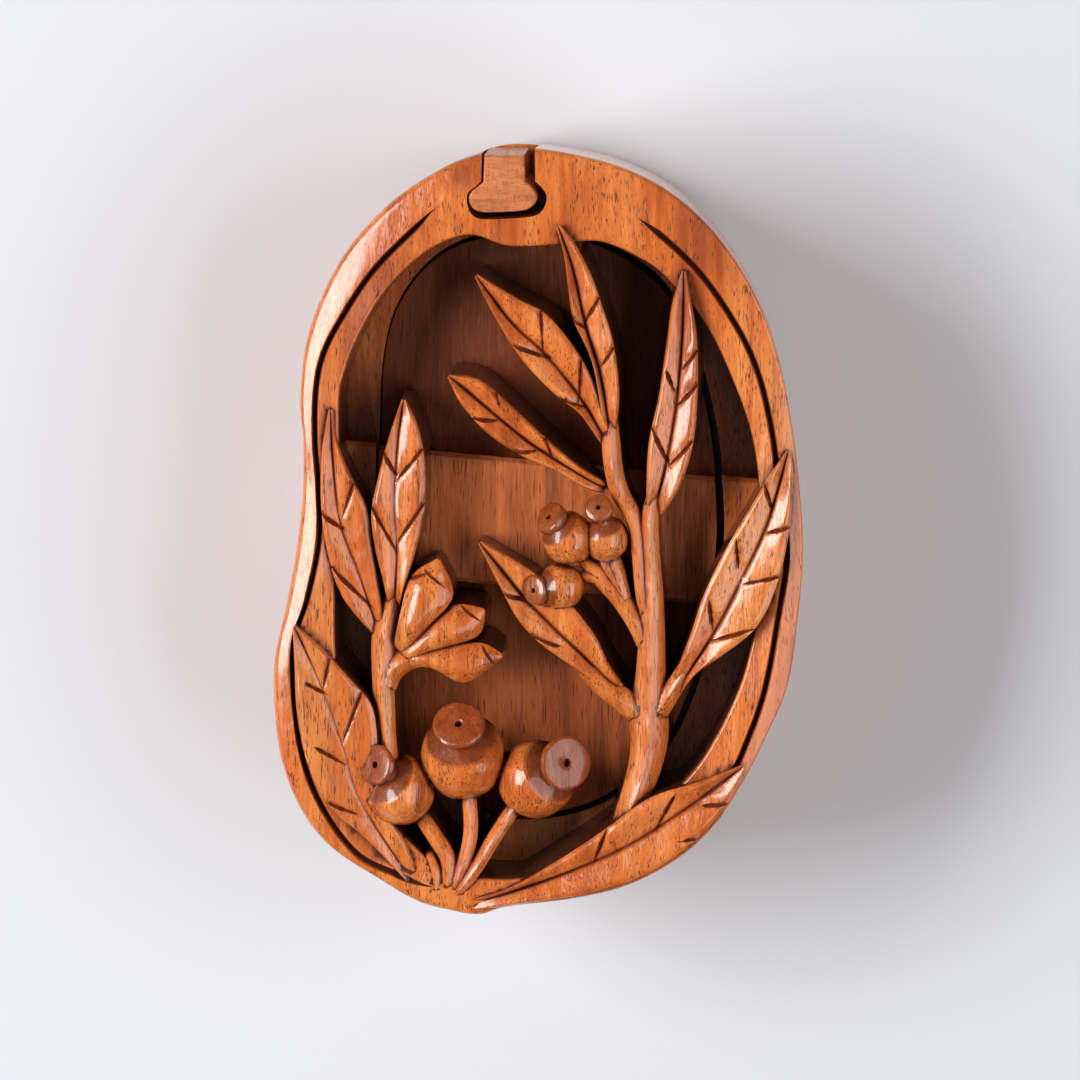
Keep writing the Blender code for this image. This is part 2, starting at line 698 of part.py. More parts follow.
def groove_fade(step):
    """Returns how deep the groove runs in a direction, from 0 past its ends to 1 along it."""
    turn = step / RIM_STEPS
    best = 0.0
    for first, last in GROOVE_RUN_SHARES:
        for shifted in (turn, turn + 1.0):
            inside = min(shifted - first, last - shifted)
            best = max(best, min(1.0, inside / GROOVE_FADE_SHARE))
    return best


def make_rim(outline):
    """Makes the rim of the lid: a rounded bead, the groove and the inner band."""
    opening = reaches(OPENING_SHARES)
    groove = reaches(GROOVE_SHARES)
    low = BASE_HEIGHT - OVERRUN
    sections = []
    for step in range(RIM_STEPS):
        fade = groove_fade(step)
        outer, inner = outline[step], opening[step]
        half = GROOVE_WIDTH / 2 * max(fade, GROOVE_FADE_SHARE)
        line = max(inner + 2 * half, min(outer - RIM_ROUND - half, groove[step]))
        if fade > 0.0:
            line = groove[step]
        bead = min(RIM_ROUND, (outer - line - half) / 2)
        section = [
            (outer - side_inset(BASE_HEIGHT), low),
            (outer - side_inset(RIM_TOP - bead), RIM_TOP - bead),
            (outer - bead * ROUND_SHARE, RIM_TOP - bead * ROUND_SHARE),
            (outer - bead, RIM_TOP),
            (line + half, RIM_TOP),
            (line, RIM_TOP - GROOVE_DEPTH * fade),
            (line - half, RIM_TOP),
            (inner, RIM_TOP - BAND_DROP),
            (inner - WALL_DRAFT, low),
        ]
        angle = direction(step)
        sections.append(
            [Vector((radius * math.cos(angle), radius * math.sin(angle), z)) for radius, z in section]
        )
    return solid("carved_lid", list(zip(*sections)), wrap=True)


def across_of(curve, index):
    """Returns the level direction square to a curve at one of its points."""
    first = curve[max(0, index - 1)]
    second = curve[min(len(curve) - 1, index + 1)]
    along = (second - first).to_2d().normalized()
    return Vector((-along.y, along.x, 0.0))


def leaf_rise(rises, position):
    """Returns the height over the rim at a share of the way from a leaf's tip to its base."""
    tip, middle, base = (rise * LID_THICKNESS for rise in rises)
    return (
        tip * (1 - position) * (1 - 2 * position)
        + middle * 4 * position * (1 - position)
        + base * position * (2 * position - 1)
    )


def leaf(name, shares, rib_depth):
    """Makes a leaf: two crowned halves that fall to a midrib, over walls down to the seat."""
    tip, base = place(shares["tip_share"]), place(shares["base_share"])
    rib = even([tip, *[place(share) for share in shares["rib_shares"]], base], LEAF_STATIONS)
    edges = []
    for key in ("side_shares", "far_side_shares"):
        middle = [place(share) for share in shares[key]]
        tip_across = across_of(rib, 0)
        base_across = across_of(rib, LEAF_STATIONS - 1)
        if tip_across.dot(middle[0] - rib[1]) < 0.0:
            tip_across.negate()
            base_across.negate()
        start = tip + tip_across * LEAF_TIP_WIDTH / 2
        end = base + base_across * LEAF_BASE_WIDTH / 2
        edges.append(even([start, *middle, end], LEAF_STATIONS))
    low = Vector((0.0, 0.0, BASE_HEIGHT - OVERRUN))
    rings = []
    for index in range(LEAF_STATIONS):
        position = index / (LEAF_STATIONS - 1)
        top = RIM_TOP + leaf_rise(shares["rise_shares"], position)
        side, middle, far = edges[0][index], rib[index], edges[1][index]
        width = (side - far).length
        drop = min(LEAF_EDGE_DROP, width * EDGE_DROP_SHARE)
        dip = min(rib_depth, width * EDGE_DROP_SHARE)
        outward = (side - far).normalized() * LEAF_DRAFT
        up = Vector((0.0, 0.0, 1.0))
        rings.append(
            [
                side + outward + low,
                side + up * (top - drop),
                side.lerp(middle, CROWN_SHARE) + up * top,
                middle + up * (top - dip),
                far.lerp(middle, CROWN_SHARE) + up * top,
                far + up * (top - drop),
                far - outward + low,
            ]
        )
    return solid(name, rings)


def stem(name, table):
    """Makes a stem with a ridged top, over walls down to the seat."""
    points = [
        Vector((x * BOX_WIDTH, y * BOX_LENGTH, width * STEM_WIDTH, rise * LID_THICKNESS))
        for x, y, width, rise in table
    ]
    curve = smooth(points, STEM_STATIONS)
    low = BASE_HEIGHT - OVERRUN
    rings = []
    for index, point in enumerate(curve):
        centre = Vector((point.x, point.y, 0.0))
        across = across_of(curve, index) * point.z / 2
        draft = across.normalized() * LEAF_DRAFT
        top = RIM_TOP + point.w
        rings.append(
            [
                centre + across + draft + Vector((0.0, 0.0, low)),
                centre + across + Vector((0.0, 0.0, top - STEM_RIDGE)),
                centre + Vector((0.0, 0.0, top)),
                centre - across + Vector((0.0, 0.0, top - STEM_RIDGE)),
                centre - across - draft + Vector((0.0, 0.0, low)),
            ]
        )
    return solid(name, rings)


def fruit(name, shares, radius, thickness, sides):
    """Makes a round fruit with a flat cap that leans the way it was carved."""
    belly, cap, rise = shares["size_shares"]
    centre = place(shares["place_share"], RIM_TOP + rise * LID_THICKNESS)
    axis = Vector(shares["cap_shares"]) * radius
    reach = axis.length
    profile = [
        (along * belly * radius, out * belly * radius) for along, out in FRUIT_PROFILE_SHARES
    ]
    profile += [
        (reach - thickness, cap * radius * NECK_SHARE),
        (reach - thickness * NECK_SHARE, cap * radius),
        (reach, cap * radius * CAP_TOP_SHARE),
    ]
    return turned(name, profile, centre, axis, sides)


def underside():
    """Makes the body that trims the lid flat underneath and cuts its groove for the tongue."""
    right = tongue_section(SLIDE_GAP)
    left = [(-across, up) for across, up in reversed(right)]
    far = BOX_LENGTH
    floor = -2 * OVERRUN
    section = [(far, floor), (far, SLIDE_GAP), *right, *left, (-far, SLIDE_GAP), (-far, floor)]
    return along_tongue("underside", section)


def make_lid(outline):
    """Makes the carved lid as one body, trimmed underneath and slotted for the key."""
    lid = make_rim(outline)
    carving = [leaf(name, shares, LEAF_RIB_DEPTH) for name, shares in LEAF_SHARES.items()]
    carving += [leaf(name, shares, 0.0) for name, shares in BUD_SHARES.items()]
    carving += [stem(name, table) for name, table in STEM_SHARES.items()]
    carving += [
        fruit(name, shares, NUT_RADIUS, NUT_CAP_THICKNESS, NUT_SIDES)
        for name, shares in NUT_SHARES.items()
    ]
    carving += [
        fruit(name, shares, BERRY_RADIUS, BERRY_CAP_THICKNESS, BERRY_SIDES)
        for name, shares in BERRY_SHARES.items()
    ]
    combine(lid, carving, "UNION")
    combine(lid, [underside(), key_cutter("slot", BASE_HEIGHT - OVERRUN)], "DIFFERENCE")
    return lid


def finish(target, colour, roughness, origin):
    """Gives a piece its own material and shading, and puts its origin at a point."""
    material = bpy.data.materials.new(target.name)
    material.use_nodes = True
    shader = material.node_tree.nodes["Principled BSDF"]
    shader.inputs["Base Color"].default_value = (*colour, 1.0)
    shader.inputs["Roughness"].default_value = roughness
    shader.inputs["Metallic"].default_value = 0.0
    material.diffuse_color = (*colour, 1.0)
    target.data.materials.clear()
    target.data.materials.append(material)
    target.data.transform(Matrix.Translation(-origin))
    target.location = origin
    target.data.shade_smooth()
    target.data.set_sharp_from_angle(angle=SHARP_ANGLE)


def main():
    """Builds the box."""
    for old in list(bpy.data.objects):
        bpy.data.objects.remove(old)
    outline = reaches(OUTLINE_SHARES)
    plug = reaches(PLUG_SHARES)
    seat = Vector((0.0, TONGUE_OFFSET, BASE_HEIGHT))
    floor = make_floor(outline)
    finish(floor, DARK_WOOD, DRY_ROUGHNESS, Vector())
    shell = make_base(outline, plug)
    finish(shell, RED_WOOD, LACQUER_ROUGHNESS, Vector())
    inner_lid = make_inner_lid(plug)
    finish(inner_lid, BROWN_WOOD, DRY_ROUGHNESS, seat)
    lid = make_lid(outline)
    finish(lid, RED_WOOD, LACQUER_ROUGHNESS, seat)
    key = make_key()
    finish(key, END_WOOD, DRY_ROUGHNESS, place((0.0, KEY_FACE_SHARE), BASE_HEIGHT))
    bpy.context.view_layer.update()
    for child, parent in ((inner_lid, shell), (lid, shell), (key, lid)):
        child.parent = parent
        child.matrix_parent_inverse = parent.matrix_world.inverted()


main()
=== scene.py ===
"""Wooden puzzle box with a carved openwork lid.

It is laid out as an add-on and run as a script. Everything is in the frame's coordinates: metres,
+Z up, the key at +Y. The tables count in thousandths of the box's width and length, from its
middle, and of the lid's thickness.
"""

import json
import math

import bmesh
import bpy
import numpy as np
from bpy.props import FloatProperty, FloatVectorProperty, PointerProperty
from mathutils import Matrix, Vector, noise
from mathutils.bvhtree import BVHTree

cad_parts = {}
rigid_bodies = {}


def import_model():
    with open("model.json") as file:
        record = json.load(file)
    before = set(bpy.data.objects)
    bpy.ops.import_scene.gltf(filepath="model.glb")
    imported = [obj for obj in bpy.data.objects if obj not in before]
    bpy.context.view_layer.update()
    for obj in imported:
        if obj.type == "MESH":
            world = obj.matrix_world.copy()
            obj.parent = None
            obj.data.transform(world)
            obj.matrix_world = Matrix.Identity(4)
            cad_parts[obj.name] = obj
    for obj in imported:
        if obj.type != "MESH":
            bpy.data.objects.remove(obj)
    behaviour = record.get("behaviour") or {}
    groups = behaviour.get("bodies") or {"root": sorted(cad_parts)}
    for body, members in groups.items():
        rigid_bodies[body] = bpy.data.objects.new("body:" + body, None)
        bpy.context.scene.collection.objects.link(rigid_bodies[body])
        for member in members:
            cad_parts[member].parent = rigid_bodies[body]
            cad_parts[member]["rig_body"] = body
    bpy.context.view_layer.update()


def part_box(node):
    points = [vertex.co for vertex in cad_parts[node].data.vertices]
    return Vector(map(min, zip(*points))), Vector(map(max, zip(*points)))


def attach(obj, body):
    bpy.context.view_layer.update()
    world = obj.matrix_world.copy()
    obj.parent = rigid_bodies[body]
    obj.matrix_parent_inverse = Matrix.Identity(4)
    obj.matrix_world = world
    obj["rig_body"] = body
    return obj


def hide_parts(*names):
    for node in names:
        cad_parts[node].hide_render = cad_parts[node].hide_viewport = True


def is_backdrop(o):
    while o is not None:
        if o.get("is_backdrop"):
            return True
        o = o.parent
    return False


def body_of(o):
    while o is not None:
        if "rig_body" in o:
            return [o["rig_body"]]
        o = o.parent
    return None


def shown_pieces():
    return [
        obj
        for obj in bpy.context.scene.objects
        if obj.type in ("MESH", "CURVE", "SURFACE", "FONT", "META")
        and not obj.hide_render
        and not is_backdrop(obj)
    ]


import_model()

bl_info = {
    "name": "Carved Puzzle Box",
    "version": (1, 0, 0),
    "blender": (4, 5, 0),
    "location": "3D View > Sidebar > Puzzle Box",
    "description": "Makes a wooden puzzle box with a carved openwork lid",
    "category": "Object",
}

RIM_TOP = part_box("key")[1].z
FLOOR_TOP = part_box("base_floor")[1].z

# Counts
RIM_STEPS = 480
CURVE_STEPS = 8
LEAF_STATIONS = 110
STEM_STATIONS = 44
STEM_COLUMNS = 11
FRUIT_SIDES = 56
VEIN_STATIONS = 11
PROFILE_STEPS = 20
WALL_STEPS = 16
INNER_LID_STEPS = 9
KEY_STEPS = 96
KEY_SIDE_STEPS = 6
KEY_SOFTENING = 4
SHADE_RAYS = 16

# The box's body, the rim and the gaps between the pieces
SEAT = 0.036
SIDE_TAPER = 0.0032
TAPER_POWER = 1.5
FOOT_ROUND = 0.0030
RIM_ROUND = 0.0020
ROUND_WAVE = (0.65, -0.35)
BEAD_SLOPE = 0.40
BEAD_POWER = 1.1
BEAD_TURN = 0.35
BEAD_WAVE = (0.58, -0.15, 0.27)
BAND_DROP = 0.0008
BAND_ROUND = 0.0007
WALL_DRAFT = 0.0006
JOINT_GAP = 0.0003
SLIDE_GAP = 0.0003
OVERRUN = 0.010
INNER_LID_THICKNESS = 0.0100
INNER_LID_DROP = 0.0005
INNER_LID_SHIFT = 0.0005
KERF_WIDTH = 0.0010
LEDGE_WIDTH = 0.0030
SHARP_ANGLE = math.radians(32.0)

# The tongue that the lid slides on
TONGUE_WIDTH = 0.0262
TONGUE_HEIGHT = 0.0080
TONGUE_UNDERCUT = 0.0026
TONGUE_LIP = 0.0024
TONGUE_ROUND = 0.0008
TONGUE_OFFSET = 0.0007
TONGUE_TURN = math.radians(-5.0)

# The key
KEY_NECK_WIDTH = 0.0076
KEY_BULB_WIDTH = 0.0134
KEY_LENGTH = 0.0112
KEY_OFFSET = 0.0063
KEY_FACE_SHARE = 0.492
KEY_ROUND = 0.0006
KEY_DEPTH = 0.0015
KEY_PLAY_LEFT = 0.0004
KEY_PLAY_RIGHT = 0.0019
KEY_PLAY_BACK = 0.0014
KEY_LIFT_SHARE = 0.22

# Leaves, buds and stems
LEAF_DRAFT = 0.0010
LEAF_TIP_WIDTH = 0.0008
LEAF_BASE_WIDTH = 0.0024
BUD_ROUND = 0.0020
SIDE_HOLD = 0.0004
HELD_SHARE = 0.9
END_FALL = 0.0020
END_RUN_SHARE = 0.12
END_WIDTH_SHARE = 0.45
EDGE_DROP_SHARE = 0.3
CROWN_SHARE = 0.24
RIB_SHARE = 0.90
RIB_CUT_SHARE = 0.24
TROUGH_POWER = 1.15
STEM_SECTION = (0.72, 0.28)
LOBE_REACH = 0.0024
LOBE_STEP = 0.0004
LOBE_RUN = 1.3
KNIFE_SPACING = 0.0036
END_SHARE = 0.06
VEIN_SWELL = 2.49
VEIN_POWERS = (0.5, 0.9)
VEIN_STEEP_SHARE = 0.38
VEIN_OVERRUN = 0.16
VEIN_UNDERRUN = 0.08

# Fruits
NUT_CAP_THICKNESS = 0.0016
BERRY_CAP_THICKNESS = 0.0021
FRUIT_MARKS = 1.6
FRUIT_TINT = (0.98, 0.94, 0.84)
NECK_SHARE = 0.66
NECK_END_SHARE = 0.70
NECK_START = 1.04
NECK_STOP = 0.9

# Painted shade in crevices, in the cavity, on walls, along midribs and on the fruits' shoulders,
# partly standing for staining; real stains on the caps and the rim's patch; the inside darker
# towards +Y
SHADE_GAIN = 1.25
SHADE_REACH = 0.0028
SHADE_RAY_START = 0.00006
SHADE_TOP = 0.0008
SHADE_FALL = 0.0032
DEEP_SHADE_SHARE = 0.75
DARK_START = 0.0125
RIB_SHADE = 0.46
RIB_LINE = 0.00006
WALL_SHADE_AND_STAIN = 0.54
WALL_FALL = 0.0006
WALL_UP = 0.4
SHOULDER_STAIN_AND_SHADE = 0.36
SHOULDER_RUN = 0.05
CAP_STAIN = 0.31
HOLLOW_STAIN = 0.27
HOLLOW_REACH = 0.0052
HOLLOW_EDGE = 1.5

# Places along a form's section, from 0 to 1
COLUMN_SHARES = (
    0.0, 0.05, 0.12, 0.20, 0.27, 0.33, 0.42, 0.52, 0.62, 0.72, 0.82, 0.90, 0.955, 1.0,
)
ROUND_SHARES = (0.0, 0.12, 0.3, 0.5, 0.71, 0.87, 1.0)
WALL_SHARES = (0.0, 0.35, 0.65, 0.85, 0.94, 0.98)
SIDE_SHARES = (0.0, 0.4, 0.8, 1.0)
BEAD_SHARES = (0.85, 0.7, 0.55, 0.4, 0.25, 0.1)
BAND_SHARES = (0.3, 0.6, 0.85)
RIM_WALL_SHARES = (0.03, 0.08, 0.16, 0.4, 0.7, 1.0)
BOTTOM_SHARES = (0.0, 0.04, 0.12, 0.22, 0.36, 0.5, 0.75, 1.0)

# Stage
FLOOR_REACH = 3.0
FLOOR_DEPTH = 0.02
LAMP_TINT = (1.0, 0.985, 0.97)
LAMPS = {
    "left_lamp": ((-0.99, 0.20, 0.93), 0.90, 0.55, 21.0),
    "right_lamp": ((0.93, -0.15, 0.92), 1.40, 1.10, 12.2),
}
WORLD_TINT = (0.80, 0.82, 0.86, 1.0)
WORLD_STRENGTH = 0.10
CAMERA_DISTANCE = 1.05
VIEW_WIDTH = 0.2088
VIEW_CENTRE = (0.0006, -0.0006)
VIEW_LEAN = (math.radians(3.0), math.radians(8.5))

# Outline of the rim, clockwise from the key: x and y in turn, as in the other outlines
OUTLINE = [
    -55, 501, 44, 496, 156, 477, 250, 444, 330, 394, 402, 321, 450, 236, 478, 142, 495, 43,
    499, -29, 491, -101, 472, -193, 432, -261, 389, -321, 335, -379, 263, -425, 168, -460,
    63, -478, -57, -489, -110, -500, -166, -495, -232, -482, -312, -448, -396, -410, -451, -362,
    -488, -294, -500, -219, -497, -161, -474, -90, -455, -20, -442, 56, -440, 122, -446, 174,
    -434, 249, -400, 316, -347, 377, -269, 433, -181, 473, -118, 491,
]

# Inner edge of the rim, partly under the leaves
OPENING = [
    -53, 375, 40, 377, 120, 381, 210, 353, 265, 318, 320, 269, 362, 211, 400, 138, 418, 60,
    425, -22, 408, -120, 381, -197, 322, -280, 265, -330, 196, -375, 120, -415, 25, -443,
    -70, -453, -175, -439, -242, -405, -309, -350, -352, -271, -379, -180, -383, -94, -373, 0,
    -373, 80, -372, 174, -362, 210, -335, 258, -284, 316, -208, 367, -128, 389,
]

# Line of the groove in the rim, from the key round to the key
GROOVE = [
    -32, 450, 86, 451, 156, 427, 240, 385, 310, 337, 375, 271, 413, 214, 438, 144, 456, 60,
    468, -20, 457, -85, 434, -183, 404, -252, 350, -330, 240, -405, 100, -447, -70, -471,
    -200, -462, -270, -445, -343, -419, -408, -358, -446, -286, -461, -193, -457, -134, -434, -85,
    -411, -9, -410, 58, -417, 122, -415, 187, -400, 236, -362, 286, -307, 342, -230, 396,
    -154, 440,
]

# Half widths and shares of the depth of the groove's section, from outside to inside
GROOVE_SECTION = (
    (1.15, 0.0), (0.9, 0.18), (0.4, 0.84), (0.0, 1.0), (-0.4, 0.84), (-0.9, 0.18), (-1.15, 0.0),
)

# Where the groove runs, as shares of a full turn from +X, and how fast it fades
GROOVE_RUN_SHARES = [(0.297, 0.705), (0.835, 1.202)]
GROOVE_FADE_SHARE = 0.012

# Saw cut round the inner lid
PLUG = [
    -4, 384, 128, 368, 236, 316, 293, 235, 328, 149, 345, 66, 349, -14, 331, -121, 299, -214,
    240, -300, 149, -360, 50, -389, -61, -394, -175, -367, -261, -307, -303, -227, -320, -134,
    -320, -41, -312, 52, -309, 125, -303, 211, -278, 283, -217, 343, -131, 377,
]

# Reddish patch on the rim, to the left of the key
HOLLOW = (-137, 466)

# Half outlines of the key, from its outer face inwards, as shares of its widths and its length
KEY_NECK_END_SHARE = 0.43
KEY_BULB_SHARE = 0.73
KEY_RIGHT_SHARES = [
    (0.325, 0.465), (0.393, 0.540), (0.470, 0.670), (0.482, 0.730), (0.438, 0.835), (0.290, 0.947),
]
KEY_LEFT_SHARES = [
    (-0.290, 0.985), (-0.445, 0.925), (-0.505, 0.820), (-0.495, 0.640), (-0.342, 0.510),
]

# Leaves: tip, base, how far the tip, the middle and the base stand over the rim and the trough's
# share of its plain depth, then midrib, one side, the other side and the knife cuts of the side
# veins, each from the margin to the midrib
LEAVES = {
    "upper_leaf": (
        (40, 402), (137, 135), (50, 120, 60, 1000), (67, 347, 91, 274, 118, 210),
        (51, 363, 59, 321, 69, 282, 105, 224), (67, 384, 97, 347, 120, 305, 143, 253, 154, 190),
        [(116, 310, 90, 280), (145, 248, 122, 224), (60, 287, 92, 272)],
    ),
    "upper_side_leaf": (
        (-114, 337), (131, 122), (-50, 90, 30, 1000), (-51, 279, 15, 237, 82, 180),
        (-90, 298, -51, 253, -13, 219, 36, 185, 82, 159),
        (-36, 308, 15, 290, 53, 262, 88, 227, 116, 187),
        [(7, 294, 11, 243), (83, 227, 78, 170), (-40, 248, 25, 232), (40, 179, 88, 171)],
    ),
    "middle_side_leaf": (
        (-166, 207), (128, 62), (-50, 70, 20, 1000), (-90, 164, -13, 122, 53, 93),
        (-143, 172, -93, 135, -29, 106, 40, 85, 82, 67), (-107, 202, -42, 166, 21, 126, 78, 93),
        [(-78, 190, -69, 165), (14, 134, 26, 107), (-116, 153, -77, 151), (-46, 109, -2, 113)],
    ),
    "tall_leaf": (
        (274, 345), (217, 28), (60, 150, 80, 1000), (272, 266, 261, 174, 242, 96),
        (253, 305, 244, 260, 229, 187, 211, 128, 206, 76),
        (288, 305, 299, 260, 301, 194, 295, 135, 278, 85, 248, 43),
        [(298, 242, 274, 222), (300, 200, 262, 172), (288, 124, 249, 96), (244, 216, 258, 192),
        (215, 146, 249, 94)],
    ),
    "right_leaf": (
        (470, 114), (257, -206), (60, 160, 60, 1000), (434, 24, 385, -52, 333, -123),
        (440, 87, 396, 37, 352, -16, 314, -72, 288, -127),
        (480, 83, 474, 17, 453, -52, 415, -111, 349, -151, 299, -177),
        [(474, 17, 427, 8), (457, -47, 385, -58), (398, -118, 333, -131), (427, 72, 441, 40),
        (375, -4, 379, -38), (325, -83, 331, -117)],
    ),
    "centre_leaf": (
        (-109, -10), (162, -208), (-100, 0, 20, 1000), (-42, -68, 21, -114, 86, -156),
        (-70, -68, -36, -109, 6, -140, 72, -172), (-32, -37, 44, -75, 105, -125, 135, -166),
        [(-65, -76, 17, -91), (-18, -129, 47, -144)],
    ),
    "spray_leaf": (
        (-250, 177), (-269, -94), (20, 130, 60, 600), (-261, 122, -267, 43, -263, -22),
        (-276, 132, -299, 72, -310, 30, -303, -16, -290, -55),
        (-223, 142, -210, 96, -211, 37, -227, -16, -242, -51),
        [(-212, 116, -262, 74), (-208, 47, -262, -7), (-287, 110, -264, 81),
        (-311, 42, -264, -18)],
    ),
    "rim_leaf": (
        (-387, 164), (-297, -130), (40, 70, 30, 650), (-383, 96, -370, 17, -333, -55),
        (-404, 109, -406, 43, -394, -22, -370, -75, -330, -114),
        (-375, 122, -349, 76, -320, 37, -310, -9, -299, -62),
        [(-341, 76, -365, 27), (-405, 29, -364, 8), (-382, -44, -312, -93)],
    ),
    "lower_left_leaf": (
        (-457, -119), (-227, -467), (80, 100, 0, 500), (-410, -193, -366, -278, -333, -350),
        (-457, -173, -453, -232, -434, -298, -394, -354, -328, -396, -270, -439),
        (-404, -149, -345, -193, -310, -225, -301, -278, -303, -337, -251, -402),
        [(-390, -157, -403, -197), (-333, -208, -366, -268), (-433, -194, -397, -207),
        (-414, -279, -364, -299), (-391, -352, -341, -365)],
    ),
    "lower_right_leaf": (
        (389, -298), (-143, -488), (50, 120, 30, 1000), (291, -350, 177, -402, 44, -444),
        (310, -317, 215, -339, 130, -381, 34, -426, -61, -464),
        (362, -345, 299, -395, 206, -440, 91, -467, -32, -482),
        [(258, -340, 228, -379), (368, -346, 308, -350), (310, -393, 270, -396),
        (130, -386, 110, -424)],
    ),
}

# Flower buds, written like the leaves, with knife cuts near their tips
BUDS = {
    "upper_bud": (
        (-185, -30), (-261, -153), (40, 200, 60, 1000), (-204, -68, -232, -114),
        (-236, -52, -257, -101), (-158, -77, -204, -117),
        [(-246, -56, -200, -45), (-207, -45, -174, -64)],
    ),
    "middle_bud": (
        (-99, -96), (-257, -160), (20, 140, 60, 1000), (-147, -114, -204, -138),
        (-156, -90, -204, -117), (-112, -130, -185, -147),
        [(-137, -93, -106, -110)],
    ),
    "lower_bud": (
        (-65, -156), (-253, -164), (0, 120, 50, 1000), (-137, -166, -204, -160),
        (-105, -140, -175, -143), (-135, -191, -200, -172),
        [(-100, -146, -78, -170)],
    ),
}

# Stems: x, y, width as a share of stem_width and rise, in turn
STEMS = {
    "trunk": (
        150, -398, 1200, 0, 181, -350, 1400, 50, 202, -305, 1600, 70, 211, -269, 1800, 80,
        211, -235, 1900, 80, 213, -190, 1500, 70, 215, -145, 1100, 50, 216, -100, 800, 0,
    ),
    "upper_stem": (
        209, -280, 1200, 30, 211, -245, 1500, 74, 213, -210, 1550, 85, 215, -166, 1400, 100,
        217, -114, 1200, 100, 217, -62, 1000, 100, 213, -16, 900, 90, 213, 30, 800, 90,
        221, 63, 800, 80,
    ),
    "centre_leaf_stem": (
        208, -240, 1300, -10, 162, -214, 1200, 45, 120, -193, 1000, 30, 82, -169, 800, 10,
    ),
    "right_leaf_stem": (
        213, -243, 1200, -10, 242, -212, 1050, 60, 265, -187, 800, 70, 288, -156, 600, 60,
    ),
    "fork_stem": (
        137, 160, 900, 50, 141, 102, 900, 50, 154, 60, 900, 50, 181, 26, 800, 60,
        192, -16, 750, 70, 198, -68, 700, 70, 210, -121, 700, 60,
    ),
    "berry_stem": (
        217, -164, 800, 20, 190, -117, 900, 50, 158, -81, 1000, 30, 120, -51, 1100, 0,
        92, -34, 700, -30, 66, -14, 600, -50,
    ),
    "right_berry_stalk": (
        176, -108, 700, 0, 160, -72, 800, 20, 149, -44, 800, 0, 140, -16, 500, -40,
    ),
    "middle_berry_stalk": (
        176, -104, 700, -10, 156, -70, 700, 15, 133, -41, 600, -5, 120, -18, 500, -40,
    ),
    "lower_berry_stalk": (
        150, -78, 600, -10, 118, -56, 600, -20, 86, -54, 500, -50, 62, -57, 500, -100,
    ),
    "spray_stem": (
        -272, -330, 900, -40, -284, -282, 950, 20, -288, -235, 1000, 50, -291, -180, 1100, 60,
        -286, -127, 1300, 60, -270, -75, 900, 50,
    ),
    "bud_stem": (
        -290, -212, 1000, 30, -280, -182, 1200, 50, -252, -164, 1200, 60, -214, -158, 1000, 50,
        -180, -160, 800, 20,
    ),
    "left_stalk": (
        -248, -346, 700, -100, -190, -402, 800, 0, -168, -431, 800, 30, -171, -468, 800, 20,
    ),
    "middle_stalk": (
        -135, -312, 700, -100, -126, -383, 700, 10, -137, -426, 700, 40, -162, -471, 700, 20,
    ),
    "right_stalk": (
        -20, -334, 700, -100, -80, -396, 700, 0, -114, -435, 650, 40, -162, -481, 650, 20,
    ),
    "short_stalk": (
        -208, -418, 500, -40, -192, -444, 500, 10, -192, -471, 500, 0,
    ),
}

# Gumnuts: place of the belly, then as plain shares the way to the cap (x, y and up), the belly's
# and the cap's radius and the belly's rise, and the way that the cap faces
NUTS = {
    "left_nut": ((-263, -336), (-0.62, 0.84, 0.74), (1, 0.56, -0.12), (-0.7, 0.28, 1)),
    "middle_nut": ((-141, -292), (-0.08, 1.08, 0.84), (1.2, 0.72, -0.17), (-0.05, 0.9, 1)),
    "right_nut": ((-4, -322), (0.92, 0.61, 0.8), (1.1, 0.76, -0.2), (0.62, 0.16, 1)),
}

# Profiles are (along, radius) pairs.
NUT_PROFILE = [
    (-0.94, 0.30), (-0.84, 0.52), (-0.62, 0.79), (-0.30, 0.96), (0.02, 1.00), (0.30, 0.96),
    (0.52, 0.86),
]
NUT_SHOULDER = [(0.57, 0.76), (0.65, 0.60), (0.71, 0.50)]

CAP_PROFILE = [
    (-1.10, 0.50), (-1.00, 0.84), (-0.85, 0.96), (-0.50, 1.02), (-0.22, 1.00), (-0.07, 0.95),
    (0.00, 0.87), (0.05, 0.50), (0.04, 0.19), (-0.04, 0.145), (-0.95, 0.10),
]

# Berries, written like the gumnuts
BERRIES = {
    "left_berry": ((59, -2), (-0.82, 0.98, 0.62), (1.13, 0.7, -0.06), (-1, 0.85, 1)),
    "right_berry": ((129, -2), (-0.3, 1.4, 0.66), (0.98, 0.6, -0.06), (-0.12, 0.5, 1)),
    "lower_berry": ((45, -66), (-1.16, -0.1, 0.55), (0.98, 0.62, -0.1), (-0.75, 0.05, 1)),
}
BERRY_PROFILE = [
    (-0.96, 0.28), (-0.84, 0.54), (-0.56, 0.83), (-0.20, 0.98), (0.15, 0.99), (0.50, 0.87),
]
BERRY_SHOULDER = [(0.62, 0.78), (0.80, 0.58), (0.90, 0.42)]


def metres(name, description, default):
    """Returns a length that a user can set."""
    return FloatProperty(name=name, description=description, default=default, unit="LENGTH")


def tint(name, description, default):
    """Returns a colour that a user can set."""
    return FloatVectorProperty(
        name=name, description=description, default=default, subtype="COLOR"
    )


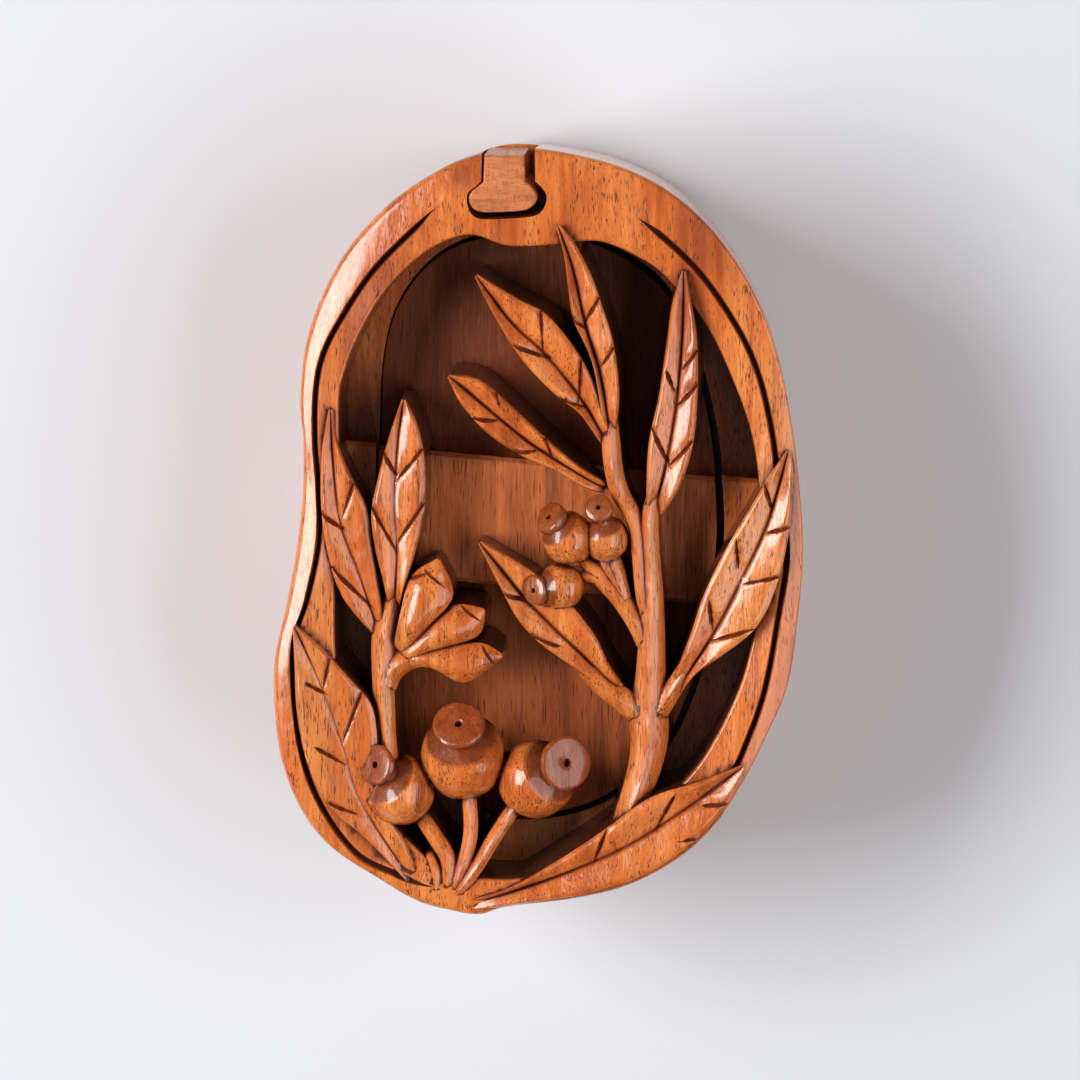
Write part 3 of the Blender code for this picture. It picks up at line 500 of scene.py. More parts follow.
class BoxSizes(bpy.types.PropertyGroup):
    """Sizes of the box and of its carving."""

    box_length: metres("Length", "Length of the box along Y", 0.150)
    box_width: metres("Width", "Width of the box along X", 0.103)
    groove_depth: metres("Groove depth", "Depth of the rim's groove", 0.0017)
    groove_width: metres("Groove width", "Width of the rim's groove", 0.0013)
    leaf_trough: metres("Leaf trough", "How far a leaf falls to its midrib", 0.0015)
    leaf_margin: metres("Leaf margin", "How far a leaf falls to its margin", 0.0006)
    vein_depth: metres("Vein depth", "Depth of a side vein's cut", 0.0006)
    vein_width: metres("Vein width", "Width of a side vein's cut", 0.0008)
    lobe_fall: metres("Lobe fall", "How far a leaf's lobe falls to its vein", 0.00035)
    knife_marks: metres("Knife marks", "Unevenness that the knife left", 0.00015)
    stem_width: metres("Stem width", "Width of a plain stem", 0.0040)
    stem_ridge: metres("Stem ridge", "Height of a plain stem's ridge", 0.0017)
    nut_radius: metres("Gumnut radius", "Radius of a plain gumnut", 0.0070)
    berry_radius: metres("Berry radius", "Radius of a plain berry", 0.0046)


class WoodFinish(bpy.types.PropertyGroup):
    """Colours and gloss of the wood."""

    light: tint("Light grain", "Palest colour of the carved wood", (0.95, 0.330, 0.084))
    middle: tint("Middle grain", "Main colour of the carved wood", (0.76, 0.188, 0.035))
    deep: tint("Deep grain", "Darkest colour of the carved wood", (0.38, 0.070, 0.012))
    inner: tint("Inner wood", "Main colour of the unpolished inside", (0.64, 0.160, 0.043))
    # Dark colour for painted shade in crevices, on walls, in cuts and deep in the cavity, and for
    # real staining and the key's pore ends
    stain: tint("Stain", "Colour of the dark stain in crevices", (0.036, 0.008, 0.004))
    # Reddish colour laid where painted shade and stains lie, partly standing for lacquer where it
    # gathers
    red_stain: tint(
        "Red stain", "Colour of the lacquer where it gathers", (0.26, 0.036, 0.008)
    )
    pores: tint("Pores", "Colour of the pores", (0.066, 0.011, 0.003))
    end_grain: tint("End grain", "Main colour of the key's end grain", (0.60, 0.19, 0.062))
    floor: tint("Floor", "Colour of the floor", (0.71, 0.735, 0.775))
    gloss: FloatProperty(
        name="Roughness", description="Roughness of the lacquer", default=0.27, min=0.0, max=1.0
    )


def sizes():
    """Returns the sizes set in the scene."""
    return bpy.context.scene.puzzle_box_sizes


def wood():
    """Returns the finish set in the scene."""
    return bpy.context.scene.puzzle_box_wood


class Wire:
    """A number socket that Python expressions can be written with."""

    def __init__(self, nodes, socket):
        self.nodes = nodes
        self.socket = socket

    def maths(self, operation, first, second=0.0, clamp=False):
        """Adds a Math node."""
        return self.nodes.add(
            "ShaderNodeMath", {"operation": operation, "use_clamp": clamp}, {0: first, 1: second}
        )

    def __add__(self, other):
        return self.maths("ADD", self, other)

    __radd__ = __add__

    def __sub__(self, other):
        return self.maths("SUBTRACT", self, other)

    def __rsub__(self, other):
        return self.maths("SUBTRACT", other, self)

    def __mul__(self, other):
        return self.maths("MULTIPLY", self, other)

    __rmul__ = __mul__

    def held(self):
        """Returns the number held between 0 and 1."""
        return self.maths("ADD", self, 0.0, clamp=True)

    def above(self, start, gain):
        """Returns how far the number is over a start, times a gain, held between 0 and 1."""
        return ((self - start) * gain).held()


class Nodes:
    """The node tree of one material."""

    def __init__(self, name):
        self.material = bpy.data.materials.new(name)
        self.material.use_nodes = True
        self.tree = self.material.node_tree
        self.shader = self.tree.nodes["Principled BSDF"]

    def add(self, kind, settings=(), values=(), output=0):
        """Adds a node of a type with its settings, then its sockets' values or links."""
        node = self.tree.nodes.new(kind)
        for key, value in dict(settings).items():
            if key == "stops":
                ramp = node.color_ramp.elements
                while len(ramp) < len(value):
                    ramp.new(1.0)
                for stop, (position, colour) in zip(ramp, value):
                    stop.position = position
                    stop.color = (*colour, 1.0)
            else:
                setattr(node, key, value)
        for key, value in dict(values).items():
            self.join(node.inputs[key], value)
        return Wire(self, node.outputs[output])

    def join(self, socket, value):
        """Links a wire to a socket, or sets the socket's own value."""
        if isinstance(value, Wire):
            self.tree.links.new(value.socket, socket)
        else:
            socket.default_value = value

    def mix(self, factor, first, second):
        """Mixes two colours."""
        first, second = (
            value if isinstance(value, Wire) else (*value, 1.0) for value in (first, second)
        )
        values = {0: factor, 6: first, 7: second}
        return self.add("ShaderNodeMix", {"data_type": "RGBA"}, values, output=2)

    def vector(self, operation, values):
        """Adds a Vector Math node."""
        return self.add("ShaderNodeVectorMath", {"operation": operation}, values)

    def noise(self, vector, per_metre, detail=2.0, roughness=0.5, output="Fac"):
        """Adds noise with its own frequency, per metre, along each axis."""
        stretched = self.vector("MULTIPLY", {0: vector, 1: per_metre})
        values = {"Vector": stretched, "Scale": 1.0, "Detail": detail, "Roughness": roughness}
        return self.add("ShaderNodeTexNoise", {}, values, output)

    def crevice(self):
        """Returns the painted shade and stains that the attribute holds for a point."""
        return self.add("ShaderNodeAttribute", {"attribute_name": "crevice"}, {}, output="Fac")

    def bump(self, strength, distance, height):
        """Adds a Bump node."""
        return self.add(
            "ShaderNodeBump", {}, {"Strength": strength, "Distance": distance, "Height": height}
        )

    def feed(self, values):
        """Gives the shader's sockets their values or links, and returns the material."""
        for key, value in values.items():
            self.join(self.shader.inputs[key], value)
        return self.material


def wavy(nodes, reach):
    """Returns the place on the object, bent by a length so that the grain wanders."""
    spot = nodes.add("ShaderNodeTexCoord", output="Object")
    bend = nodes.noise(spot, (34.0, 9.0, 34.0), output="Color")
    level = nodes.vector("SUBTRACT", {0: bend, 1: (0.5, 0.5, 0.5)})
    offset = nodes.vector("SCALE", {0: level, "Scale": reach})
    return nodes.vector("ADD", {0: spot, 1: offset})


def grained_wood(name, shades, roughness, coat, pore_share, pore_rate=430.0, dark_start=None):
    """Makes a wood with its grain along Y: bands, fibres and pores, darker towards +Y past
    dark_start, with painted shade and staining in its crevices, on its walls and in the cavity.
    """
    nodes = Nodes(name)
    spot = wavy(nodes, 0.004)
    deep = shades[0]
    bands = nodes.noise(spot, (150.0, 6.0, 150.0), detail=4.0, roughness=0.6)
    patches = nodes.noise(spot, (45.0, 22.0, 45.0))
    fibres = nodes.noise(spot, (1900.0, 75.0, 1900.0), detail=3.0, roughness=0.6)
    streaks = nodes.noise(spot, (620.0, 14.0, 620.0), detail=3.0, roughness=0.6)
    stops = list(zip((0.37, 0.48, 0.60), shades))
    grain = (bands * 0.6 + patches * 0.4).held()
    colour = nodes.add("ShaderNodeValToRGB", {"stops": stops}, {0: grain})
    colour = nodes.mix(patches.above(0.50, 5.0) * 0.35, colour, deep)
    colour = nodes.mix(((fibres - 0.5) * 1.6 + 0.30).held() * 0.65, colour, deep)
    colour = nodes.mix(streaks.above(0.50, 4.0) * 0.75, colour, deep)
    if dark_start is not None:
        along = nodes.add("ShaderNodeSeparateXYZ", {}, {0: spot}, output="Y")
        dark = along.above(dark_start, 260.0) * (bands * 1.4 + patches * 0.8 - 0.25).held()
        colour = nodes.mix(dark, colour, tuple(0.35 * part for part in deep))
    pores = nodes.noise(spot, (4200.0, pore_rate, 4200.0), detail=1.0)
    crowd = nodes.noise(spot, (420.0, 70.0, 420.0))
    pores = ((pores + crowd * 0.34 - 0.805 + pore_share * 0.06) * 12.0).held()
    colour = nodes.mix(pores * 0.82, colour, wood().pores)
    # Painted shade: where the attribute holds shade or stains, the wood turns red-brown, then dark
    crevice = nodes.crevice()
    gathered_and_shaded = (crevice * 2.4).held() * (0.25 + bands * 0.6 + streaks * 0.6).held()
    colour = nodes.mix(gathered_and_shaded, colour, wood().red_stain)
    worn = nodes.noise(spot, (700.0, 300.0, 700.0))
    soaked_and_shaded = ((crevice - 0.24) * 3.2 + (worn - 0.5) * 0.5).held()
    colour = nodes.mix(soaked_and_shaded * 0.9, colour, wood().stain)
    dents = nodes.noise(spot, (380.0, 170.0, 380.0))
    height = fibres * 0.8 + streaks * 0.8 + dents * 3.6 - pores * 0.2
    return nodes.feed({
        "Base Color": colour,
        "Roughness": (roughness + pores * 0.12 + soaked_and_shaded * 0.25 + (fibres - 0.5) * 0.16).held(),
        "Specular IOR Level": 0.3,
        "Coat Weight": coat,
        "Coat Roughness": 0.12,
        "Normal": nodes.bump(0.7, 0.00016, height),
    })


def end_grained_wood(name):
    """Makes the key's wood: upright grain, so that its top shows rings, flecks and pore ends."""
    nodes = Nodes(name)
    spot = wavy(nodes, 0.002)
    rings = nodes.noise(spot, (90.0, 420.0, 8.0), detail=3.0, roughness=0.6)
    flecks = nodes.noise(spot, (420.0, 3000.0, 60.0))
    cross = nodes.noise(spot, (3000.0, 420.0, 60.0))
    dots = nodes.noise(spot, (2900.0, 2900.0, 300.0), detail=1.0)
    end = np.array(wood().end_grain)
    stops = [(0.34, end * 0.62), (0.50, end), (0.66, end * 1.18)]
    colour = nodes.add("ShaderNodeValToRGB", {"stops": stops}, {0: rings})
    marks = flecks.above(0.52, 8.0) * 0.6 + cross.above(0.54, 8.0) * 0.6
    pits = dots.above(0.63, 10.0)
    colour = nodes.mix(marks * 0.75, colour, wood().deep)
    colour = nodes.mix(pits * 0.6, colour, wood().stain)
    # Painted shade in the key's crevices
    colour = nodes.mix(nodes.crevice().above(0.3, 1.8) * 0.8, colour, wood().stain)
    return nodes.feed({
        "Base Color": colour,
        "Roughness": (0.42 + pits * 0.2 + marks * 0.1).held(),
        "Coat Weight": 0.15,
        "Normal": nodes.bump(0.5, 0.0001, 1.0 - pits - marks * 0.5),
    })


def shared(name, make):
    """Returns a material by name, made when it is first asked for."""
    return bpy.data.materials.get(name) or make(name)


def toned(name, tones, gains, *grain):
    """Returns a grained wood whose deep, middle and light shades are tones times their gains."""
    shades = [tuple(np.array(tone) * gain) for tone, gain in zip(tones, gains)]
    return shared(name, lambda label: grained_wood(label, shades, *grain))


def lid_tones():
    """Returns the deep, middle and light colours of the carved wood."""
    return wood().deep, wood().middle, wood().light


def lacquered():
    """Returns the glossy wood of the lid and the outside."""
    return toned("lacquered_wood", lid_tones(), (1.0, 1.0, 1.0), wood().gloss, 0.8, 0.45)


def unpolished():
    """Returns the darker matt wood of the inside."""
    grain = (0.50, 0.0, 0.2, 200.0, DARK_START)
    return toned("inside_wood", [wood().inner] * 3, (0.45, 1.0, 1.5), *grain)


def fruit_wood():
    """Returns the redder, darker lacquered wood of the fruits."""
    return toned("fruit_wood", lid_tones(), [FRUIT_TINT] * 3, wood().gloss, 0.8, 0.75, 240.0)


def shaded_cut_wood():
    """Returns the dark wood painted on the knife cuts' steep walls as their shade."""
    return toned("stained_cut", [wood().deep] * 3, (0.2, 0.45, 0.85), 0.45, 0.2, 1.0)


def thousandths(numbers):
    """Returns whole numbers of a table as thousandths."""
    return np.array(numbers, float) / 1000.0


def plan(points):
    """Returns plan points in metres from x and y in turn, in thousandths of the box's sides."""
    return thousandths(points).reshape(-1, 2) * (sizes().box_width, sizes().box_length)


def lifted(points, z):
    """Returns plan points as points in space at the given heights."""
    points = np.asarray(points, float)
    return np.column_stack([points[:, 0], points[:, 1], np.broadcast_to(z, len(points))])


def smooth(points, count, closed=False):
    """Returns count points along a Catmull-Rom curve through the given ones."""
    points = np.asarray(points, float)
    total = len(points)
    spans = total if closed else total - 1
    position = spans * np.arange(count) / (count if closed else count - 1)
    start = np.minimum(position.astype(int), spans - 1)
    blend = (position - start)[:, None]

    def corner(offset):
        index = start + offset
        return points[index % total] if closed else points[np.clip(index, 0, total - 1)]

    before, first, second, after = (corner(offset) for offset in (-1, 0, 1, 2))
    return 0.5 * (
        2 * first
        + (second - before) * blend
        + (2 * before - 5 * first + 4 * second - after) * blend**2
        + (3 * first - before - 3 * second + after) * blend**3
    )


def even(points, count):
    """Returns count points spaced evenly along an open curve through the given ones."""
    fine = smooth(points, count * CURVE_STEPS)
    length = np.concatenate([[0.0], np.cumsum(np.linalg.norm(np.diff(fine, axis=0), axis=1))])
    wanted = np.linspace(0.0, length[-1], count)
    return np.column_stack([np.interp(wanted, length, column) for column in fine.T])


def directions():
    """Returns the directions round the box, in radians from +X."""
    return math.tau * np.arange(RIM_STEPS) / RIM_STEPS


def reaches(points):
    """Returns how far a closed outline lies from the middle of the box in each direction."""
    fine = smooth(plan(points), len(points) * CURVE_STEPS, closed=True)
    angles = np.arctan2(fine[:, 1], fine[:, 0]) % math.tau
    order = np.argsort(angles)
    reach = np.linalg.norm(fine, axis=1)
    return np.interp(directions(), angles[order], reach[order], period=math.tau)


def ring(radii, z):
    """Returns points all round the middle of the box, at the given reaches and heights."""
    turn = directions()
    return lifted(np.column_stack([radii * np.cos(turn), radii * np.sin(turn)]), z)


def side_inset(z):
    """Returns how far the outside is drawn in at a height, with its rounded foot."""
    taper = SIDE_TAPER * (1.0 - min(1.0, z / RIM_TOP)) ** TAPER_POWER
    below = max(0.0, FOOT_ROUND - z)
    return taper + FOOT_ROUND - math.sqrt(FOOT_ROUND**2 - below**2)


def loft(name, rings, wrap=False):
    """Makes a closed body from rings of points, capped at both ends unless it wraps round."""
    rings = np.asarray(rings, float)
    rows, around = rings.shape[:2]
    index = np.arange(rows * around).reshape(rows, around)
    low, high = (index, np.roll(index, -1, axis=0)) if wrap else (index[:-1], index[1:])
    after_low, after_high = np.roll(low, -1, axis=1), np.roll(high, -1, axis=1)
    faces = np.stack([low, after_low, after_high, high], axis=-1).reshape(-1, 4).tolist()
    if not wrap:
        faces += [index[0][::-1].tolist(), index[-1].tolist()]
    mesh = bpy.data.meshes.new(name)
    mesh.from_pydata(rings.reshape(-1, 3).tolist(), [], faces)
    shape = bmesh.new()
    shape.from_mesh(mesh)
    bmesh.ops.recalc_face_normals(shape, faces=shape.faces)
    shape.to_mesh(mesh)
    shape.free()
    result = bpy.data.objects.new(name, mesh)
    bpy.context.scene.collection.objects.link(result)
    return result


def cut(target, cutters):
    """Cuts bodies away from a piece and removes them."""
    group = bpy.data.collections.new(target.name + "_cutters")
    for cutter in cutters:
        group.objects.link(cutter)
    modifier = target.modifiers.new("Cut", "BOOLEAN")
    modifier.operation = "DIFFERENCE"
    modifier.solver = "EXACT"
    modifier.operand_type = "COLLECTION"
    modifier.material_mode = "TRANSFER"
    modifier.collection = group
    bpy.context.view_layer.update()
    graph = bpy.context.evaluated_depsgraph_get()
    made = bpy.data.meshes.new_from_object(target.evaluated_get(graph))
    target.modifiers.clear()
    target.data = made
    for cutter in cutters:
        bpy.data.objects.remove(cutter)
    bpy.data.collections.remove(group)


def finish(piece, body, node, material):
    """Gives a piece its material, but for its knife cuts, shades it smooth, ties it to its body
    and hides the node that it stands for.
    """
    mesh = piece.data
    names = [used.name if used else "" for used in mesh.materials] or [""]
    # Faces of the knife cuts keep their dark wood, a painted shade
    marks = [names[face.material_index] == "stained_cut" for face in mesh.polygons]
    mesh.materials.clear()
    mesh.materials.append(material)
    if any(marks):
        mesh.materials.append(shaded_cut_wood())
    mesh.polygons.foreach_set("material_index", marks)
    mesh.shade_smooth()
    mesh.set_sharp_from_angle(angle=SHARP_ANGLE)
    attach(piece, body)
    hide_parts(node)


def finish_carving(piece, material=None):
    """Finishes a piece of the openwork lid."""
    finish(piece, "lid", "carved_lid", material or lacquered())


def tongue_section(grow):
    """Returns the right half of the tongue's section as (across, up) pairs, bottom to top."""
    half = TONGUE_WIDTH / 2 + grow
    return [
        (half - TONGUE_UNDERCUT, grow),
        (half, TONGUE_HEIGHT - TONGUE_LIP),
        (half, TONGUE_HEIGHT - TONGUE_ROUND + grow),
        (half - TONGUE_ROUND * 0.7, TONGUE_HEIGHT - TONGUE_ROUND * 0.3 + grow),
        (half - TONGUE_ROUND, TONGUE_HEIGHT + grow),
    ]


def along_tongue(name, section):
    """Makes a bar with an (across, up) section that runs the tongue's way past the box."""
    place = Matrix.Translation((0.0, TONGUE_OFFSET, SEAT)) @ Matrix.Rotation(TONGUE_TURN, 4, "Z")
    reach = sizes().box_length
    return loft(
        name,
        [[place @ Vector((x, across, up)) for across, up in section] for x in (-reach, reach)],
    )


def shoulders(grow):
    """Makes the two bodies that leave the tongue standing when they are cut away."""
    section = tongue_section(grow)
    far = sizes().box_length
    top = TONGUE_HEIGHT + OVERRUN
    right = [(far, grow), *section, (section[-1][0], top), (far, top)]
    left = [(-across, up) for across, up in right]
    return [along_tongue("right_shoulder", right), along_tongue("left_shoulder", left)]


def underside():
    """Makes the body that trims the lid flat underneath and cuts its groove for the tongue."""
    right = tongue_section(SLIDE_GAP)
    left = [(-across, up) for across, up in reversed(right)]
    far = sizes().box_length
    floor = -2 * OVERRUN
    section = [(far, floor), (far, SLIDE_GAP), *right, *left, (-far, SLIDE_GAP), (-far, floor)]
    return along_tongue("underside", section)


def rounded(curve):
    """Returns an evenly spaced open curve with its corners softened."""
    padded = np.vstack([curve[:1]] * KEY_SOFTENING + [curve] + [curve[-1:]] * KEY_SOFTENING)
    window = 2 * KEY_SOFTENING + 1
    return sum(padded[start:start + len(curve)] for start in range(window)) / window


def key_outline(left, right, back, outward):
    """Returns the key's plan outline, grown by the given plays and past its outer face."""
    face = KEY_FACE_SHARE * sizes().box_length
    neck_end = KEY_NECK_END_SHARE * KEY_LENGTH
    neck = KEY_NECK_WIDTH / 2
    points = [(neck + right, neck_end)]
    points += [(x * KEY_BULB_WIDTH + right, y * KEY_LENGTH) for x, y in KEY_RIGHT_SHARES]
    points += [(x * KEY_BULB_WIDTH - left, y * KEY_LENGTH) for x, y in KEY_LEFT_SHARES]
    points.append((-neck - left, neck_end))
    curve = rounded(even(points, KEY_STEPS))
    curve = np.vstack([[(neck + right, -outward)], curve, [(-neck - left, -outward)]])
    past_bulb = np.maximum(0.0, curve[:, 1] / KEY_LENGTH - KEY_BULB_SHARE)
    play = back * past_bulb / (1.0 - KEY_BULB_SHARE)
    return np.column_stack([curve[:, 0] - KEY_OFFSET, face - curve[:, 1] - play])


def key_cutter(name, low):
    """Makes the body that cuts the key's slot upwards from a height."""
    outline = key_outline(KEY_PLAY_LEFT, KEY_PLAY_RIGHT, KEY_PLAY_BACK, OVERRUN)
    return loft(name, [lifted(outline, z) for z in (low, RIM_TOP + OVERRUN)])


def groove_fade():
    """Returns how deep the groove runs in each direction, from 0 past its ends to 1."""
    turn = directions() / math.tau
    best = np.zeros(RIM_STEPS)
    for first, last in GROOVE_RUN_SHARES:
        for shifted in (turn, turn + 1.0):
            inside = np.minimum(shifted - first, last - shifted)
            best = np.maximum(best, np.clip(inside / GROOVE_FADE_SHARE, 0.0, 1.0))
    return best


def wave(shares, turn):
    """Returns a constant share plus cosines of one, two and more waves a turn."""
    return sum(share * np.cos(order * turn) for order, share in enumerate(shares))


def make_rim():
    """Makes the rim: a rounded bead, the groove, the inner band and its softened inner edge."""
    outer, opening, groove = (reaches(points) for points in (OUTLINE, OPENING, GROOVE))
    fade = groove_fade()
    half = sizes().groove_width / 2 * np.maximum(fade, GROOVE_FADE_SHARE)
    held = np.clip(groove, opening + 2 * half, outer - RIM_ROUND - half)
    line = np.where(fade > 0.0, groove, held)
    first, last = (line + half * GROOVE_SECTION[end][0] for end in (0, -1))
    soft = np.minimum(RIM_ROUND * wave(ROUND_WAVE, directions()), (outer - first) / 2)
    slope = BEAD_SLOPE * wave(BEAD_WAVE, directions() + BEAD_TURN)
    tilt = np.arctan(slope * BEAD_POWER)
    run = outer - soft * (1.0 - np.sin(tilt)) - first
    fall = slope * run
    low = SEAT - OVERRUN
    edge_top = RIM_TOP - fall + soft * (1.0 - np.cos(tilt))
    rows = [(outer - side_inset(SEAT), low)]
    for share in SIDE_SHARES:
        z = SEAT + (edge_top - soft - SEAT) * share
        rows.append((outer - np.array([side_inset(height) for height in z]), z))
    for share in ROUND_SHARES[1:]:
        turn = share * (math.pi / 2 - tilt)
        rows.append((outer - soft * (1.0 - np.cos(turn)), edge_top - soft * (1.0 - np.sin(turn))))
    for share in BEAD_SHARES:
        rows.append((first + run * share, RIM_TOP - fall * share**BEAD_POWER))
    depth = sizes().groove_depth * fade
    for across, deep in GROOVE_SECTION:
        rows.append((line + half * across, RIM_TOP - depth * deep))
    for share in BAND_SHARES:
        rows.append((last + (opening + BAND_ROUND - last) * share, RIM_TOP - BAND_DROP * share))
    wall_top = RIM_TOP - BAND_DROP - BAND_ROUND
    for share in ROUND_SHARES:
        turn = share * math.pi / 2
        z = RIM_TOP - BAND_DROP - BAND_ROUND * (1.0 - math.cos(turn))
        rows.append((opening + BAND_ROUND * (1.0 - math.sin(turn)), z))
    for share in RIM_WALL_SHARES:
        rows.append((opening - WALL_DRAFT * share, wall_top + (low - wall_top) * share))
    rim = loft("lid_rim", [ring(radii, z) for radii, z in rows], wrap=True)
    cut(rim, [underside(), key_cutter("slot", low)])
    spots = np.array([vertex.co.xy for vertex in rim.data.vertices])
    away = np.linalg.norm(spots - plan(HOLLOW), axis=1)
    mark(rim, HOLLOW_STAIN * np.clip(HOLLOW_EDGE * (1.0 - away / HOLLOW_REACH), 0.0, 1.0))
    finish_carving(rim)


def leaf_rise(rises, share):
    """Returns the height over the rim at shares of the way from a leaf's tip to its base."""
    tip, middle, base = (rise * (RIM_TOP - SEAT) for rise in rises)
    return (
        tip * (1 - share) * (1 - 2 * share)
        + middle * 4 * share * (1 - share)
        + base * share * (2 * share - 1)
    )


def wall_point(level, z, part):
    """Returns a wall's points at one height, kept behind the rim's outer side."""
    away = np.linalg.norm(level, axis=1)
    turn = np.arctan2(level[:, 1], level[:, 0]) % math.tau
    outer = np.interp(turn, directions(), reaches(OUTLINE), period=math.tau)
    limit = outer - np.array([side_inset(height) for height in z]) - SIDE_HOLD
    if part < HELD_SHARE:
        level = level * np.minimum(1.0, limit / away)[:, None]
    return lifted(level, z)


def across_at(curve, first, second):
    """Returns the level direction square to a curve between two of its points."""
    along = curve[second] - curve[first]
    along = along / np.linalg.norm(along)
    return np.array([-along[1], along[0]])


def leaf_lines(tip, base, rib, *sides):
    """Returns a leaf's midrib and its two margins as evenly spaced plan points."""
    tip, base = plan(tip), plan(base)
    lines = [even(np.vstack([tip, plan(rib), base]), LEAF_STATIONS)]
    for middle in map(plan, sides):
        at_tip, at_base = across_at(lines[0], 0, 1), across_at(lines[0], -2, -1)
        if at_tip @ (middle[0] - lines[0][1]) < 0.0:
            at_tip, at_base = -at_tip, -at_base
        start, end = tip + at_tip * LEAF_TIP_WIDTH / 2, base + at_base * LEAF_BASE_WIDTH / 2
        lines.append(even(np.vstack([start, middle, end]), LEAF_STATIONS))
    return lines


def trough(share, margin, dip):
    """Returns the heights from a leaf's margin to its midrib: a rounded edge, then a trough."""
    edge = np.clip(1.0 - share / CROWN_SHARE, 0.0, 1.0) ** 2
    inward = np.clip((share - CROWN_SHARE) / (1.0 - CROWN_SHARE), 0.0, 1.0) ** TROUGH_POWER
    line = np.clip((share - RIB_SHARE) / (1.0 - RIB_SHARE), 0.0, 1.0)
    return -margin[:, None] * edge - dip[:, None] * (inward + line * RIB_CUT_SHARE)


def crown(share, margin, dip):
    """Returns the heights from a bud's margin to its middle: one rounded side."""
    return -margin[:, None] * (1.0 - share) ** 2


def knife(points):
    """Returns the unevenness that a knife leaves at points on a carved top."""
    marks = [noise.noise(Vector(point) / KNIFE_SPACING) for point in points.reshape(-1, 3)]
    return sizes().knife_marks * np.array(marks).reshape(points.shape[:-1])


def vein_frame(vein, tip):
    """Returns where a vein starts, its length, its direction and the one towards the tip."""
    first, last = plan(vein)
    first, last = first - (last - first) * VEIN_OVERRUN, last + (last - first) * VEIN_UNDERRUN
    length = np.linalg.norm(last - first)
    along = (last - first) / length
    tipward = np.array([-along[1], along[0]])
    if tipward @ (tip - first) < 0.0:
        tipward = -tipward
    return first, length, along, tipward


def lobes(level, veins, tip):
    """Returns how far the lobes between a leaf's veins fall to each vein, at plan points."""
    fall = np.zeros(level.shape[:2])
    for vein in veins:
        first, length, along, tipward = vein_frame(vein, tip)
        away = level - first
        side = away @ tipward
        share = away @ along / length
        within = np.clip(LOBE_RUN - np.abs(share - 0.5) * 2.0, 0.0, 0.5) * 2.0
        above = np.clip(1.0 - side / LOBE_REACH, 0.0, 1.0) ** 2
        below = np.clip(1.0 + side / LOBE_STEP, 0.0, 1.0)
        fall = np.maximum(fall, within * np.where(side > 0.0, above, below))
    return fall * sizes().lobe_fall


def is_nearer(spot, edge, side, far):
    """Returns whether a place on a leaf lies on the half with the given margin."""
    reach = [np.linalg.norm(margin - spot, axis=1).min() for margin in (edge, side, far)]
    return reach[0] <= min(reach[1:])


def make_leaf(name, table, heights, margin_height):
    """Makes a leaf or bud over walls down to the seat, with its veins cut into it."""
    tip, base, form, *middles, veins = table
    rib, side, far = leaf_lines(tip, base, *middles)
    *rises, trough_share = thousandths(form)
    share = np.linspace(0.0, 1.0, LEAF_STATIONS)
    top = RIM_TOP + leaf_rise(rises, share)
    top -= END_FALL * np.clip(1.0 - (1.0 - share) / END_RUN_SHARE, 0.0, 1.0) ** 2
    width = np.linalg.norm(side - far, axis=1)
    margin = np.minimum(margin_height, width * EDGE_DROP_SHARE)
    dip = np.minimum(sizes().leaf_trough * trough_share, width * EDGE_DROP_SHARE)
    columns = np.array(COLUMN_SHARES)
    relief = heights(columns[None, :], margin, dip)
    outward = (side - far) / width[:, None] * LEAF_DRAFT
    blend = columns[None, :, None]
    low = SEAT - OVERRUN
    halves = []
    for edge, sign in ((side, 1.0), (far, -1.0)):
        level = edge[:, None] * (1.0 - blend) + rib[:, None] * blend
        upper = np.concatenate([level, (top[:, None] + relief)[..., None]], axis=2)
        upper[..., 2] += knife(upper)
        if heights is trough:
            near = [vein for vein in veins if is_nearer(plan(vein)[0], edge, side, far)]
            upper[..., 2] -= lobes(level, near, rib[0])
        edge_z = upper[:, 0, 2]
        wall = [
            wall_point(edge + outward * sign * (1.0 - part), low + (edge_z - low) * part, part)
            for part in WALL_SHARES
        ]
        halves.append(np.concatenate([np.stack(wall, axis=1), upper], axis=1))
    rings = np.concatenate([halves[0], halves[1][:, -2::-1]], axis=1)
    piece = loft(name, rings)
    piece.data.materials.append(lacquered())
    walls = len(WALL_SHARES)
    surface = rings[:, walls:-walls].reshape(-1, 3)
    cutters = [
        vein_cutter(f"{name}_vein_{number}", vein, surface, rib[0])
        for number, vein in enumerate(veins)
    ]
    cut(piece, [underside(), *cutters])
    edges = rings[:, [walls, -walls]].reshape(-1, 3)
    mark_shade_and_stain(piece, edges, rib if heights is trough else ())
    finish_carving(piece, lacquered() if heights is trough else fruit_wood())


def mark_shade_and_stain(piece, edges, line):
    """Darkens a piece's walls below its upper edges, and its points on a line, seen from above:
    painted shade, on the walls partly standing for staining.
    """
    spots = np.array([vertex.co for vertex in piece.data.vertices])
    up = np.array([vertex.normal.z for vertex in piece.data.vertices])
    away = np.linalg.norm(spots[:, None, :2] - edges[None, :, :2], axis=2)
    below = edges[away.argmin(axis=1), 2] - spots[:, 2]
    marked = WALL_SHADE_AND_STAIN * np.clip(below / WALL_FALL, 0.0, 1.0) * (up < WALL_UP)
    for spot in line:
        near = np.linalg.norm(spots[:, :2] - spot, axis=1) < RIB_LINE
        marked[near & (up > 0.0)] = RIB_SHADE
    mark(piece, marked)


def mark(piece, values):
    """Darkens a piece's points, with painted shade or real stains, by at least the given values.
    """
    attribute = piece.data.attributes.get("crevice")
    if attribute:
        before = np.zeros(len(values))
        attribute.data.foreach_get("value", before)
        values = np.maximum(values, before)
    else:
        attribute = piece.data.attributes.new("crevice", "FLOAT", "POINT")
    attribute.data.foreach_set("value", values)


